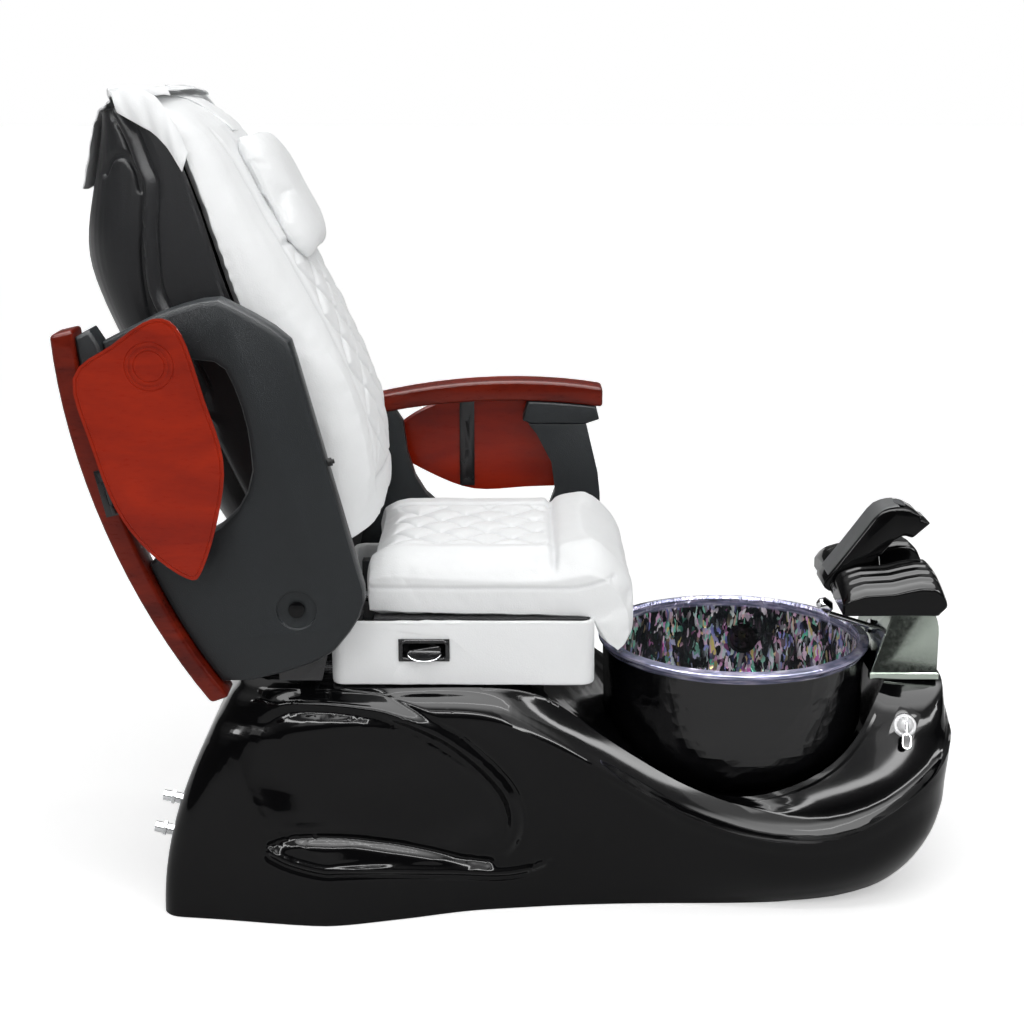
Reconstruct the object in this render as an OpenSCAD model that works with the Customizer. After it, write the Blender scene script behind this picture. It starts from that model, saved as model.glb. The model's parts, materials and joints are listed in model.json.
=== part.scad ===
// Pedicure spa chair: moulded basin base, glass foot bowl, sliding seat, reclining massage back,
// two fold-up arms with flip-up trays, and a footrest pedestal.
// Frame: +X to the front of the chair, +Y to the sitter's left, +Z up, origin on the floor.

/* [Base] */
// Distance of the rear wall from the datum at the floor
base_rear = 628; // [600:1:680]
// Distance of the front foot from the datum at the floor
base_front = 702; // [670:1:730]
// Overhang of the front bow beyond its foot
bow_overhang = 101; // [70:1:120]
// Widest half width of the base at the floor
base_half = 334; // [320:1:350]
// Height of the platform that carries the seat
platform_z = 424; // [405:1:440]
// Wall thickness of the moulded shell
shell_t = 6; // [4:0.5:8]
// Depth of the leaf-shaped relief in each side
leaf_depth = 13; // [4:1:18]

/* [Bowl] */
// Distance of the bowl's centre from the datum
bowl_x = 418; // [410:1:424]
// Outer radius of the bowl
bowl_r = 250; // [240:1:254]
// Height of the bowl's rim
rim_z = 437; // [430:1:450]
// Height of the bowl's underside
bowl_floor_z = 160; // [154:1:172]
// Wall thickness of the glass
glass_t = 8; // [6:0.5:12]
// Radius of the drain hole
drain_r = 22; // [18:0.5:26]

/* [Seat] */
// Half width of the seat cushion
seat_half = 262; // [240:1:266]
// Rear edge of the seat cushion
seat_rear = -258; // [-264:1:-240]
// Front edge of the seat cushion's roll
seat_front = 212; // [190:1:225]
// Height of the seat board
seat_z = 546; // [540:1:556]
// Thickness of the seat cushion at its middle
seat_pad = 106; // [80:1:125]
// Half width of the upholstered seat box
apron_half = 268; // [262:1:270]
// Spacing of the quilting across the seat
quilt = 44; // [36:1:60]

/* [Back] */
// Lean of the backrest from upright
back_tilt = 20; // [15:0.5:24]
// Length of the backrest above its pivot
back_len = 885; // [850:1:910]
// Half width of the backrest
back_half = 256; // [240:1:260]
// Wall thickness of the back shell
back_t = 4; // [3:0.5:6]
// Half width of the head pillow
pillow_half = 138; // [110:1:150]

/* [Arms] */
// Height of the arm pivots
arm_pivot_z = 585; // [575:1:595]
// Distance of the arm pivots behind the datum
arm_pivot_x = 365; // [355:1:372]
// Inner face of each arm panel from the centre plane
arm_in = 296; // [294:1:300]
// Thickness of each arm panel
arm_t = 44; // [32:1:48]
// Angle that an arm turns between lowered and raised
arm_fold = 103; // [90:1:106]
// Width of the wooden hand rail
rail_w = 70; // [56:1:76]
// Thickness of each wooden tray
tray_t = 17; // [12:0.5:20]
// Radius of the arm pivot bolts
bolt_r = 9; // [7:0.5:11]

/* [Footrest] */
// Half width of the footrest
foot_half = 170; // [150:1:180]
// Height of the footrest's underside
foot_z = 520; // [512:1:530]
// Half width of the raised middle support
flap_half = 44; // [36:1:48]
// Half width of the pedestal
pedestal_half = 105; // [90:1:115]

/* [Hardware] */
// Radius of the water inlet stubs
inlet_r = 10; // [8:0.5:12]
// Radial clearance of pins in their bores
fit = 0.05; // [0.02:0.01:0.1]
// Clearance between pieces that move past each other
gap = 0.4; // [0.3:0.1:0.8]

/* [Hidden] */
$fn = 48;

// Recline pivot behind the datum and above the floor, and its pins
back_pivot_x = 330;
back_pivot_z = 600;
back_pin_r = 8;

// ---- small helpers -------------------------------------------------------------------------

function mix(a, b, t) = a + (b - a) * t;
function clamp01(t) = max(0, min(1, t));
function smooth(t) = let (c = clamp01(t)) c * c * (3 - 2 * c);

// Slope of a keyed curve at key i
function key_slope(k, i) =
  (i == 0 || i == len(k) - 1) ? 0 : (k[i + 1][1] - k[i - 1][1]) / (k[i + 1][0] - k[i - 1][0]);

// Smooth curve through keys [position, value], flat beyond its ends
function key(k, t, i = 0) =
  t <= k[0][0] ? k[0][1] :
  i >= len(k) - 1 ? k[len(k) - 1][1] :
  t > k[i + 1][0] ? key(k, t, i + 1) :
  let (h = k[i + 1][0] - k[i][0], u = (t - k[i][0]) / h, u2 = u * u, u3 = u2 * u)
    (2 * u3 - 3 * u2 + 1) * k[i][1] + (u3 - 2 * u2 + u) * h * key_slope(k, i)
    + (3 * u2 - 2 * u3) * k[i + 1][1] + (u3 - u2) * h * key_slope(k, i + 1);

// Point on a cubic curve with four control points
function cubic(p, t) =
  pow(1 - t, 3) * p[0] + 3 * pow(1 - t, 2) * t * p[1] + 3 * (1 - t) * t * t * p[2] + pow(t, 3) * p[3];
function cubic_run(p, n) = [for (i = [0:n]) cubic(p, i / n)];

// Closed smooth outline through a few points
function loop_smooth(p, n) =
  [for (i = [0:len(p) - 1], j = [0:n - 1])
    let (m = len(p), a = p[(i + m - 1) % m], b = p[i], c = p[(i + 1) % m], d = p[(i + 2) % m], t = j / n)
      0.5 * (2 * b + (c - a) * t + (2 * a - 5 * b + 4 * c - d) * t * t
        + (3 * b - a - 3 * c + d) * t * t * t)];

// Outline moved inwards by d, for an outline that runs anticlockwise
function inset(p, d) =
  [for (i = [0:len(p) - 1])
    let (m = len(p), a = p[(i + m - 1) % m], b = p[i], c = p[(i + 1) % m],
         u = (b - a) / norm(b - a), v = (c - b) / norm(c - b),
         n = [-(u + v)[1], (u + v)[0]], k = max(0.5, (1 + u * v) / 2))
      b + n / norm(n) * d / sqrt(k)];

// Closed solid between two grids of points with the same rows and columns
module grid_solid(front, back) {
  rows = len(front);
  cols = len(front[0]);
  count = rows * cols;
  points = concat([for (r = front, p = r) p], [for (r = back, p = r) p]);
  faces = concat(
    [for (i = [0:rows - 2], j = [0:cols - 2], k = [0, 1])
      let (a = i * cols + j, b = a + 1, c = a + cols + 1, d = a + cols)
        k == 0 ? [a, b, c] : [a, c, d]],
    [for (i = [0:rows - 2], j = [0:cols - 2], k = [0, 1])
      let (a = count + i * cols + j, b = a + 1, c = a + cols + 1, d = a + cols)
        k == 0 ? [a, c, b] : [a, d, c]],
    [for (i = [0:rows - 2], k = [0, 1]) let (a = i * cols, d = a + cols)
        k == 0 ? [a, d, count + d] : [a, count + d, count + a]],
    [for (i = [0:rows - 2], k = [0, 1]) let (a = i * cols + cols - 1, d = a + cols)
        k == 0 ? [a, count + d, d] : [a, count + a, count + d]],
    [for (j = [0:cols - 2], k = [0, 1]) let (a = j)
        k == 0 ? [a, count + a + 1, a + 1] : [a, count + a, count + a + 1]],
    [for (j = [0:cols - 2], k = [0, 1]) let (a = (rows - 1) * cols + j)
        k == 0 ? [a, a + 1, count + a + 1] : [a, count + a + 1, count + a]]);
  polyhedron(points, faces, convexity = 10);
}

// Slab along +Z over an outline, with its edges bevelled by e0 below and e1 above
module bevel_slab(outline, t, e0, e1) {
  m = len(outline);
  rings = [inset(outline, e0), outline, outline, inset(outline, e1)];
  level = [0, e0, t - e1, t];
  points = [for (r = [0:3], p = rings[r]) [p[0], p[1], level[r]]];
  faces = concat(
    [[for (i = [m - 1:-1:0]) i]],
    [for (r = [0:2], i = [0:m - 1], k = [0, 1])
      let (a = r * m + i, b = r * m + (i + 1) % m)
        k == 0 ? [a, b, b + m] : [a, b + m, a + m]],
    [[for (i = [0:m - 1]) 3 * m + i]]);
  polyhedron(points, faces, convexity = 10);
}

// Pipe along straight runs with round corners, or with collars that stand out by bead
module pipe_run(path, r) {
  for (i = [0:len(path) - 2]) {
    a = path[i];
    d = path[i + 1] - a;
    turn = atan2(d[1], d[0]);
    tip = acos(d[2] / norm(d));
    translate(a) rotate([0, tip, turn]) cylinder(h = norm(d), r = r, $fn = 24);
    if (i > 0) translate(a) sphere(r = r, $fn = 24);
  }
}

module box_at(lo, hi) translate(lo) cube(hi - lo);
module both_sides() for (side = [-1, 1]) scale_side(side) children();
module scale_side(side) mirror([0, side > 0 ? 0 : 1, 0]) children();
// Cylinder along Y between two distances from the centre plane
module y_rod(x, z, y0, y1, r) translate([x, y0, z]) rotate([-90, 0, 0]) cylinder(h = y1 - y0, r = r);
module x_rod(y, z, x0, x1, r) translate([x0, y, z]) rotate([0, 90, 0]) cylinder(h = x1 - x0, r = r);

// ---- base shell ----------------------------------------------------------------------------
// The skin is lofted over six rails that run round the base from the middle of the rear wall
// (s = 0) to the middle of the bow (s = 1): floor, lower lip, rounded lip, groove, sharp
// ridge and inner deck. A rail is [rear x, front x, front squareness, corner radius, widths, heights].

side_start = -344;
side_end = 300;
s_side = 0.25;
s_bow = 0.7;
wide = base_half - 334;
high = platform_z - 424;
bow = base_front + bow_overhang;
rail_floor = [base_rear, base_front, 3.4, 34,
  [[0, 296], [0.19, 303], [0.25, 334], [0.35, 306], [0.45, 268], [0.6, 250], [0.7, 246]], [[0, 0], [1, 0]]];
rail_lip = [base_rear - 83, bow, 4.6, 60,
  [[0, 262], [0.19, 290], [0.25, 316], [0.35, 314], [0.45, 306], [0.6, 300], [0.7, 300]],
  [[0, 318], [0.19, 325], [0.25, 350], [0.38, 368], [0.45, 366], [0.5, 350], [0.557, 297], [0.626, 243],
   [0.7, 175], [0.75, 127], [0.8, 114], [0.85, 186], [0.9, 214], [0.95, 224], [1, 228]]];
rail_round = [base_rear - 100, bow + 6, 4.6, 62,
  [[0, 250], [0.19, 278], [0.25, 305], [0.35, 306], [0.45, 302], [0.6, 304], [0.7, 304]],
  [[0, 352], [0.19, 356], [0.25, 382], [0.35, 394], [0.45, 388], [0.5, 364], [0.558, 320], [0.6, 284],
   [0.65, 240], [0.7, 197], [0.75, 149], [0.8, 146], [0.85, 232], [0.9, 288], [0.95, 320], [1, 332]]];
rail_groove = [base_rear - 123, bow, 4.6, 62,
  [[0, 236], [0.25, 289], [0.45, 284], [0.6, 284], [0.7, 282]],
  [[0, 384], [0.25, 406], [0.4, 412], [0.47, 403], [0.5, 384], [0.558, 335], [0.6, 296], [0.65, 248],
   [0.7, 204], [0.75, 156], [0.8, 148], [0.85, 214], [0.9, 290], [0.95, 334], [1, 344]]];
rail_ridge = [base_rear - 138, bow - 6, 4.6, 62,
  [[0, 228], [0.25, 276], [0.45, 268], [0.6, 260], [0.7, 258]],
  [[0, 408], [0.25, 421], [0.45, 422], [0.505, 414], [0.543, 394], [0.6, 331], [0.647, 285],
   [0.7, 237], [0.75, 186], [0.8, 172], [0.85, 228], [0.88, 292], [0.9, 340], [0.915, 368], [0.93, 379], [1, 380]]];
rail_deck = [base_rear - 158, 700, 3, 62,
  [[0, 215], [0.25, 250], [0.45, 240], [0.55, 228], [0.6, 205], [0.7, 196], [0.75, 232], [0.8, 244], [1, 244]],
  [[0, 424], [0.505, 424], [0.529, 404], [0.59, 338], [0.628, 291], [0.67, 242], [0.7, 217],
   [0.75, 198], [0.8, 225], [0.825, 250], [0.857, 299], [0.882, 360], [0.9, 377], [0.92, 381], [1, 381]]];
// Floor of the pocket round the bowl
rail_pit = [base_rear - 178, 670, 3, 62,
  [[0, 200], [0.25, 235], [0.45, 225], [0.55, 213], [0.6, 190], [0.7, 180], [0.75, 212], [0.8, 226], [1, 226]],
  [[0, 424], [0.505, 424], [0.529, 403], [0.59, 330], [0.628, 280], [0.67, 228], [0.7, 200],
   [0.75, 180], [0.8, 195], [0.857, 225], [0.9, 250], [1, 256]]];
deck_z = 381 + high;

// Point of a rail at s, moved inwards and down by t
function rail_at(rail, s, t = 0) =
  let (w = key(rail[4], s) + wide - t, xr = rail[0] - t, xf = rail[1] - t, rc = rail[3], n = rail[2],
       level = min(platform_z, key(rail[5], s) * platform_z / 424), z = level > 0 ? level - t : 0)
  s < s_side ?
    let (u = s / s_side, a = 90 * clamp01((u - 0.35) / 0.4), wc = w - rc,
         corner = -(xr - rc))
      u < 0.35 ? [-xr, wc * u / 0.35, z] :
      u < 0.75 ? [corner - rc * cos(a), wc + rc * sin(a), z] :
      [mix(corner, side_start, (u - 0.75) / 0.25), w, z] :
  s <= s_bow ? [mix(side_start, side_end, (s - s_side) / (s_bow - s_side)), w, z] :
    let (a = 90 * (s - s_bow) / (1 - s_bow), r = pow(pow(sin(a), n) + pow(cos(a), n), -1 / n))
      [side_end + (xf - side_end) * sin(a) * r, w * cos(a) * r, z];

// Leaf relief of the side wall: a hollow inside a leaning ellipse with a raised lip round it
leaf = [-232, 262];
leaf_len = 248;
leaf_height = 142;
leaf_lean = 11;
lip_height = 7;
function leaf_relief(x, z) =
  let (dx = x - leaf[0], dz = (z - leaf[1]), u = (dx * cos(leaf_lean) - dz * sin(leaf_lean)) / leaf_len,
       v = (dx * sin(leaf_lean) + dz * cos(leaf_lean)) / leaf_height,
       e = (sqrt(u * u + v * v) - 1) * leaf_height, fade = smooth((x + 560) / 160))
    fade * (lip_height * exp(-pow((e - 4) / 17, 2)) - leaf_depth * smooth(-e / 34) * (1 - 0.75 * smooth(-e / 170)))
    + 5 * smooth((118 - 0.09 * (x + 200) - z) / 22) * smooth((x + 470) / 120) * smooth((130 - x) / 150);

// Wall point at height share f between the floor and the lip
function wall_at(s, f, t) =
  let (a = rail_at(rail_floor, s, t), b = rail_at(rail_lip, s, t), front = smooth((s - s_bow) / 0.14), rear = smooth((0.24 - s) / 0.1),
       ease = mix(mix(f * (0.65 + 0.35 * f), pow(sin(90 * f), 0.7), front), f * f, rear),
       p = [mix(a[0], b[0], ease), mix(a[1], b[1], ease), mix(a[2], b[2], f)],
       belly = 9 * sin(180 * f) * smooth((s - 0.2) / 0.1))
    [p[0], p[1] + (t == 0 ? leaf_relief(p[0], p[2]) * smooth(s / 0.25) + belly : belly - 12 * smooth(s / 0.25) * sin(180 * f)), p[2]];

function deck_mix(s, f, t) =
  let (a = rail_at(rail_ridge, s, t), b = rail_at(rail_deck, s, t))
    [mix(a[0], b[0], f), mix(a[1], b[1], f), mix(a[2], b[2], pow(f, 0.6))];

// One section of the skin at s, from the floor to the inner deck
function skin_section(s) =
  let (lip = rail_at(rail_lip, s), bead = rail_at(rail_round, s), groove = rail_at(rail_groove, s),
       ridge = rail_at(rail_ridge, s))
  concat([for (f = [0, 0.1, 0.2, 0.3, 0.4, 0.5, 0.6, 0.7, 0.8, 0.9]) wall_at(s, f, 0)],
    [lip, mix(lip, bead, 0.55) + [0, 3, 0], bead, mix(bead, groove, 0.45) + [0, 0, 2], groove,
     mix(groove, ridge, 0.6) + [0, 1, -4], ridge],
    [for (f = [0.08, 0.3, 0.65, 1]) deck_mix(s, f, 0)], [rail_at(rail_pit, s)]);
function lining_section(s) =
  concat([for (f = [0, 0.3, 0.65]) wall_at(s, f, shell_t)],
    [rail_at(rail_lip, s, shell_t + 2), rail_at(rail_round, s, shell_t + 4), rail_at(rail_ridge, s, shell_t + 6)],
    [deck_mix(s, 0.4, shell_t)], [for (rail = [rail_deck, rail_pit]) rail_at(rail, s, -shell_t) - [0, 0, 2 * shell_t]]);

skin_steps = 44;
module base_skin() {
  n = skin_steps;
  loop = 2 * n;
  outer = [for (i = [0:n]) skin_section(i / n)];
  inner = [for (i = [0:n]) lining_section(i / n)];
  ro = len(outer[0]);
  ri = len(inner[0]);
  function turn(i) = i <= n ? i : loop - i;
  function side(i) = i <= n ? 1 : -1;
  function ring(sec, r) = [for (i = [0:loop - 1]) let (p = sec[turn(i)][r])
    [p[0], (turn(i) == 0 || turn(i) == n) ? 0 : side(i) * p[1], p[2]]];
  function spine(sec) = [for (i = [0:n]) let (p = sec[i][len(sec[i]) - 1])
    [min(max(p[0], 20 - rail_pit[0] + 2 * i), rail_pit[1] - 20 - (n - i) / 2), 0, p[2]]];
  points = concat([for (r = [0:ro - 1], p = ring(outer, r)) p], spine(outer),
    [for (r = [0:ri - 1], p = ring(inner, r)) p], spine(inner));
  so = ro * loop;
  bi = so + n + 1;
  si = bi + ri * loop;
  function strip(a, b) = [for (i = [0:loop - 1], k = [0, 1])
    let (j = (i + 1) % loop) k == 0 ? [a + i, a + j, b + j] : [a + i, b + j, b + i]];
  function middle(i) = min(max(turn(i), 1), n - 1);
  function cap(a, c) = [for (i = [0:loop - 1], k = [0, 1])
    let (j = (i + 1) % loop, p = c + middle(i), q = c + middle(j))
      if (k == 0 || p != q) k == 0 ? [a + i, a + j, q] : [a + i, q, p]];
  function flip(f) = [for (t = f) [t[0], t[2], t[1]]];
  faces = concat(
    [for (r = [0:ro - 2], t = strip(r * loop, (r + 1) * loop)) t], cap((ro - 1) * loop, so),
    flip([for (r = [0:ri - 2], t = strip(bi + r * loop, bi + (r + 1) * loop)) t]),
    flip(cap(bi + (ri - 1) * loop, si)), flip(strip(0, bi)));
  polyhedron(points, faces, convexity = 12);
}

// Outer radius of the bowl's wall at height z
bowl_turn_z = rim_z - 147;
bowl_foot_r = 80;
function bowl_out(z) = z >= bowl_turn_z ? mix(bowl_r - 7, bowl_r - 3, (z - bowl_turn_z) / (rim_z - bowl_turn_z)) :
  bowl_foot_r + (bowl_r - 7 - bowl_foot_r)
    * pow(max(0, 1 - pow((bowl_turn_z - z) / (bowl_turn_z - bowl_floor_z), 1.8)), 1 / 1.8);
bowl_zs = [for (i = [0:14]) bowl_floor_z + (bowl_turn_z - bowl_floor_z) * (1 - cos(90 * i / 14))];
function bowl_side(c) = [for (z = bowl_zs) [bowl_out(z) + c, z - (z == bowl_zs[0] ? c : 0)]];

module base_shell() color([0.03, 0.03, 0.035]) difference() {
  base_skin();
  translate([bowl_x, 0, 0]) rotate_extrude($fn = 96) polygon(concat(
    [[0, bowl_floor_z - 30], [bowl_foot_r + 1, bowl_floor_z - 30]], bowl_side(1.5),
    [[bowl_r, rim_z + 60], [0, rim_z + 60]]));
  mixer_place() {
    translate([0, 0, -40]) cylinder(h = 80, r = mixer_bore);
    cylinder(h = 30, r = mixer_r + gap);
  }
  for (p = inlet_spots) translate(p) rotate([0, inlet_lean, 0]) translate([0, 0, -60]) cylinder(h = 120, r = inlet_r + fit);
  power_place() box_at([-20, -power_half - gap, -15 - gap], [30, power_half + gap, 15 + gap]);
}

// ---- chassis, feet and services ------------------------------------------------------------

tube = 30;
chassis_y = 165;
chassis_z = 22;
chassis_rear = -520;
chassis_front = 590;
post_xs = [-400, -15];
frame_top = platform_z - shell_t - 0.6;
module chassis_frame() color([0.2, 0.2, 0.22]) {
  both_sides() box_at([chassis_rear, chassis_y, chassis_z], [chassis_front, chassis_y + tube, chassis_z + tube]);
  for (x = concat([chassis_rear, chassis_front - tube], [for (p = post_xs) p]))
    box_at([x, -chassis_y, chassis_z], [x + tube, chassis_y, chassis_z + tube]);
  both_sides() for (x = post_xs)
    box_at([x, chassis_y, chassis_z + tube], [x + tube, chassis_y + tube, frame_top]);
  for (x = post_xs)
    box_at([x, -chassis_y, frame_top - tube], [x + tube, chassis_y, frame_top]);
  // Cradle ring under the bowl on two bearers
  difference() {
    translate([bowl_x, 0, bowl_floor_z - 8]) cylinder(h = 8, r = bowl_foot_r - 2);
    translate([bowl_x, 0, bowl_floor_z - 9]) cylinder(h = 10, r = drain_r + 14);
  }
  for (side = [-1, 1]) {
    y = side * (bowl_foot_r - 22);
    box_at([bowl_x - 12, y - 12, chassis_z + tube], [bowl_x + 12, y + 12, bowl_floor_z - 8]);
  }
  box_at([bowl_x - 12, -chassis_y, chassis_z], [bowl_x + 12, chassis_y, chassis_z + tube]);
  // Post that carries the footrest pedestal
  box_at([pedestal_post_x, -tube, chassis_z + tube + 3], [pedestal_post_x + tube, tube, deck_z - 13]);
  box_at([chassis_front - tube, -tube, chassis_z + tube], [pedestal_post_x + tube - 3, tube, chassis_z + 2 * tube]);
}
pedestal_post_x = 712;

foot_r = 20;
module levelling_feet() color([0.12, 0.12, 0.12])
  for (p = concat([[0, 0]], [for (x = [chassis_rear + 40, 0, chassis_front - 60], side = [-1, 1])
      [x, side * (chassis_y + tube / 2)]]))
    translate([p[0], p[1], 0]) {
      cylinder(h = 8, r = foot_r);
      cylinder(h = chassis_z, r = 6);
    }

power_z = 70;
power_half = 24;
module power_place() translate([-base_rear + 4, 0, power_z]) rotate([0, 6.6, 0]) children();
module power_inlet() color([0.05, 0.05, 0.05]) power_place() difference() {
  union() {
    box_at([-1, -power_half, -15], [30, power_half, 15]);
    box_at([-3.3, -power_half - 8, -20], [-0.3, power_half + 8, 20]);
  }
  box_at([-5, -14, -9], [16, 14, 9]);
}

box_size = [170, 150, 70];
box_rear = -360;
module control_box() color([0.3, 0.3, 0.32]) {
  translate([box_rear, -75, chassis_z + tube]) cube(box_size);
  for (x = [20, 130]) translate([box_rear + x, 75, chassis_z + tube + 30]) rotate([-90, 0, 0]) cylinder(h = 12, r = 9);
  for (x = [post_xs[0] + tube, box_rear + 170])
    box_at([x, -75, chassis_z + tube / 2], [x + 10, 75, chassis_z + tube]);
}

// ---- bowl and water ------------------------------------------------------------------------

module bowl() color([0.12, 0.14, 0.17]) translate([bowl_x, 0, 0]) difference() {
  rotate_extrude($fn = 96) polygon(concat([[0, bowl_floor_z]], bowl_side(0),
    [[bowl_r - 4, rim_z - 16], [bowl_r + 4, rim_z - 6], [bowl_r + 4, rim_z - 1], [bowl_r + 2, rim_z],
     [bowl_r - 13, rim_z + 3], [bowl_r - 13 - glass_t / 2, rim_z - 2]],
    [for (i = [14:-1:0]) let (z = bowl_zs[i]) [bowl_out(z) - glass_t, z + (i < 14 ? glass_t : 0)]],
    [[0, bowl_floor_z + glass_t]]));
  translate([0, 0, bowl_floor_z - 1]) cylinder(h = glass_t + 2, r = drain_r);
  translate([0, 0, jet_z]) rotate([0, 0, jet_turn]) rotate([0, 90, 0]) cylinder(h = bowl_r + 5, r = jet_neck_r);
}

// Drain: flange through the bowl's floor, lifting stopper, pipe to the rear
flange_r = drain_r + 12;
module drain_flange() color([0.8, 0.8, 0.82]) translate([bowl_x, 0, bowl_floor_z]) difference() {
  union() {
    translate([0, 0, glass_t]) cylinder(h = 3, r = flange_r);
    translate([0, 0, -26]) cylinder(h = glass_t + 28, r = drain_r - 0.3);
    translate([0, 0, -7]) cylinder(h = 7, r = drain_r + 9, $fn = 6);
  }
  translate([0, 0, -27]) cylinder(h = glass_t + 40, r = drain_r - 5);
}
stopper_guide_r = 4;
stopper_lift = 9;
module drain_stopper() color([0.85, 0.85, 0.86]) translate([bowl_x, 0, bowl_floor_z + glass_t]) {
  translate([0, 0, 3.3]) cylinder(h = 3, r = drain_r - 1);
  translate([0, 0, 6.3]) cylinder(h = 3, r1 = drain_r - 1, r2 = drain_r - 9);
  translate([0, 0, -6]) cylinder(h = 12, r = stopper_guide_r);
  for (a = [0, 120, 240]) rotate([0, 0, a]) box_at([0, -1.5, -6], [drain_r - 5 - gap, 1.5, 3.4]);
}
drain_drop = chassis_z + tube + 22;
drain_out = [-160, 110];
module drain_pipe() color([0.75, 0.76, 0.78]) {
  pipe_run([[bowl_x, 0, bowl_floor_z - 26.5], [bowl_x, 0, drain_drop], [drain_out[0], 0, drain_drop],
            [drain_out[0], drain_out[1], drain_drop], [drain_out[0], drain_out[1], 12]], drain_r - 4);
  translate([drain_out[0], drain_out[1], 50]) cylinder(h = 10, r = drain_r + 1);
}

jet_z = rim_z - 82;
jet_turn = 78;
jet_neck_r = 16;
jet_face_r = 30;
jet_wall = bowl_out(jet_z) - glass_t - 3;
module jet_place(out) translate([bowl_x, 0, jet_z]) rotate([0, 0, jet_turn]) rotate([0, 90, 0])
  translate([0, 0, jet_wall + out]) children();
module jet_cover() color([0.82, 0.82, 0.84]) jet_place(0) difference() {
  union() {
    translate([0, 0, -12]) cylinder(h = 8.5, r = jet_face_r);
    translate([0, 0, -6]) cylinder(h = 14, r = jet_neck_r - gap);
  }
  translate([0, 0, -13]) cylinder(h = 4, r = jet_face_r - 7);
  for (a = [0:60:300]) rotate([0, 0, a]) translate([12, 0, -14]) cylinder(h = 9, r = 3.5);
}
module jet_motor() color([0.25, 0.25, 0.27]) jet_place(glass_t + 3) {
  translate([0, 0, 3.2]) cylinder(h = 8, r = 30);
  translate([0, 0, 11]) cylinder(h = 12, r = 20);
  translate([0, 0, 1]) cylinder(h = 3, r = jet_neck_r + 3);
}

// Single-lever mixer on the near side of the front deck
mixer_at = [713, -176, 317];
mixer_lean = [57, 5, 0];
mixer_bore = 18;
mixer_r = 22;
lever_len = 42;
module mixer_place() translate(mixer_at + [0, 0, high]) rotate(mixer_lean) children();
// Point k across the mixer and d along its axis
function mixer_point(k, d) = mixer_at + [0, 0, high] + k * [cos(mixer_lean[1]), 0, -sin(mixer_lean[1])]
  + d * [cos(mixer_lean[0]) * sin(mixer_lean[1]), -sin(mixer_lean[0]), cos(mixer_lean[0]) * cos(mixer_lean[1])];
module mixer_plate() color([0.9, 0.9, 0.92]) mixer_place() difference() {
  translate([0, 0, 0]) cylinder(h = 4, r1 = mixer_r, r2 = mixer_r - 2);
  translate([0, 0, -1]) cylinder(h = 6, r = mixer_bore - 3);
}
module mixer_valve() color([0.6, 0.55, 0.4]) mixer_place() {
  translate([0, 0, -40]) cylinder(h = 43, r = mixer_bore - 3.3);
  translate([0, 0, 2]) cylinder(h = 6, r = 7);
}
module mixer_dome() color([0.95, 0.95, 0.96]) mixer_place() difference() {
  intersection() {
    translate([0, 0, 4.4]) sphere(r = 15);
    translate([0, 0, 4.4]) cylinder(h = 20, r = 16);
  }
  translate([0, 0, 4]) cylinder(h = 4.6, r = 7 + gap);
  box_at([-3.6, -20, 11], [3.6, 20, 24]);
}
module mixer_lever() color([0.85, 0.86, 0.88]) mixer_place() {
  box_at([-3.2, -lever_len, 11.6], [3.2, 0, 15.6]);
  translate([0, -lever_len, 11.6]) cylinder(h = 7, r = 6);
}

// Spout from the pedestal over the rim, with its spray head
spout_tip = [598, 0, 475.6 + high];
spout_root = [722, 0, 436.5 + high];
spout_r = 5.5;
spout_rise = atan2(spout_tip[2] - spout_root[2], spout_root[0] - spout_tip[0]);
module along_spout() translate(spout_root) rotate([0, spout_rise - 90, 0]) children();
module spout_arm() color([0.86, 0.87, 0.88]) along_spout() {
  cylinder(h = norm(spout_tip - spout_root), r = spout_r);
  translate([0, 0, spout_out]) cylinder(h = 7, r = 13);
}
// The head leans down over the bowl
head_lean = 35;
module spray_head() color([0.88, 0.89, 0.9]) difference() {
  translate([585, 0, 484 + high]) rotate([0, head_lean, 0]) {
    cylinder(h = 3, r = 14);
    translate([0, 0, 3]) cylinder(h = 10, r = 16.5);
    translate([0, 0, 13]) cylinder(h = 9, r1 = 16.5, r2 = 9);
  }
  along_spout() cylinder(h = norm(spout_tip - spout_root) + 0.2, r = spout_r + 0.1);
}

inlet_spots = [[-604, -200, 186], [-622, -200, 125]];
inlet_len = 30;
inlet_lean = -78;
module water_inlets() color([0.8, 0.8, 0.82]) for (p = inlet_spots) translate(p) rotate([0, inlet_lean, 0]) {
  translate([0, 0, -26]) cylinder(h = inlet_len + 26, r = inlet_r);
  translate([0, 0, 9]) cylinder(h = 5, r = inlet_r + 4, $fn = 6);
  translate([0, 0, -25]) cylinder(h = 4, r = inlet_r + 8);
}
hose_r = 5.5;
hose_y = -206;
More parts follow.
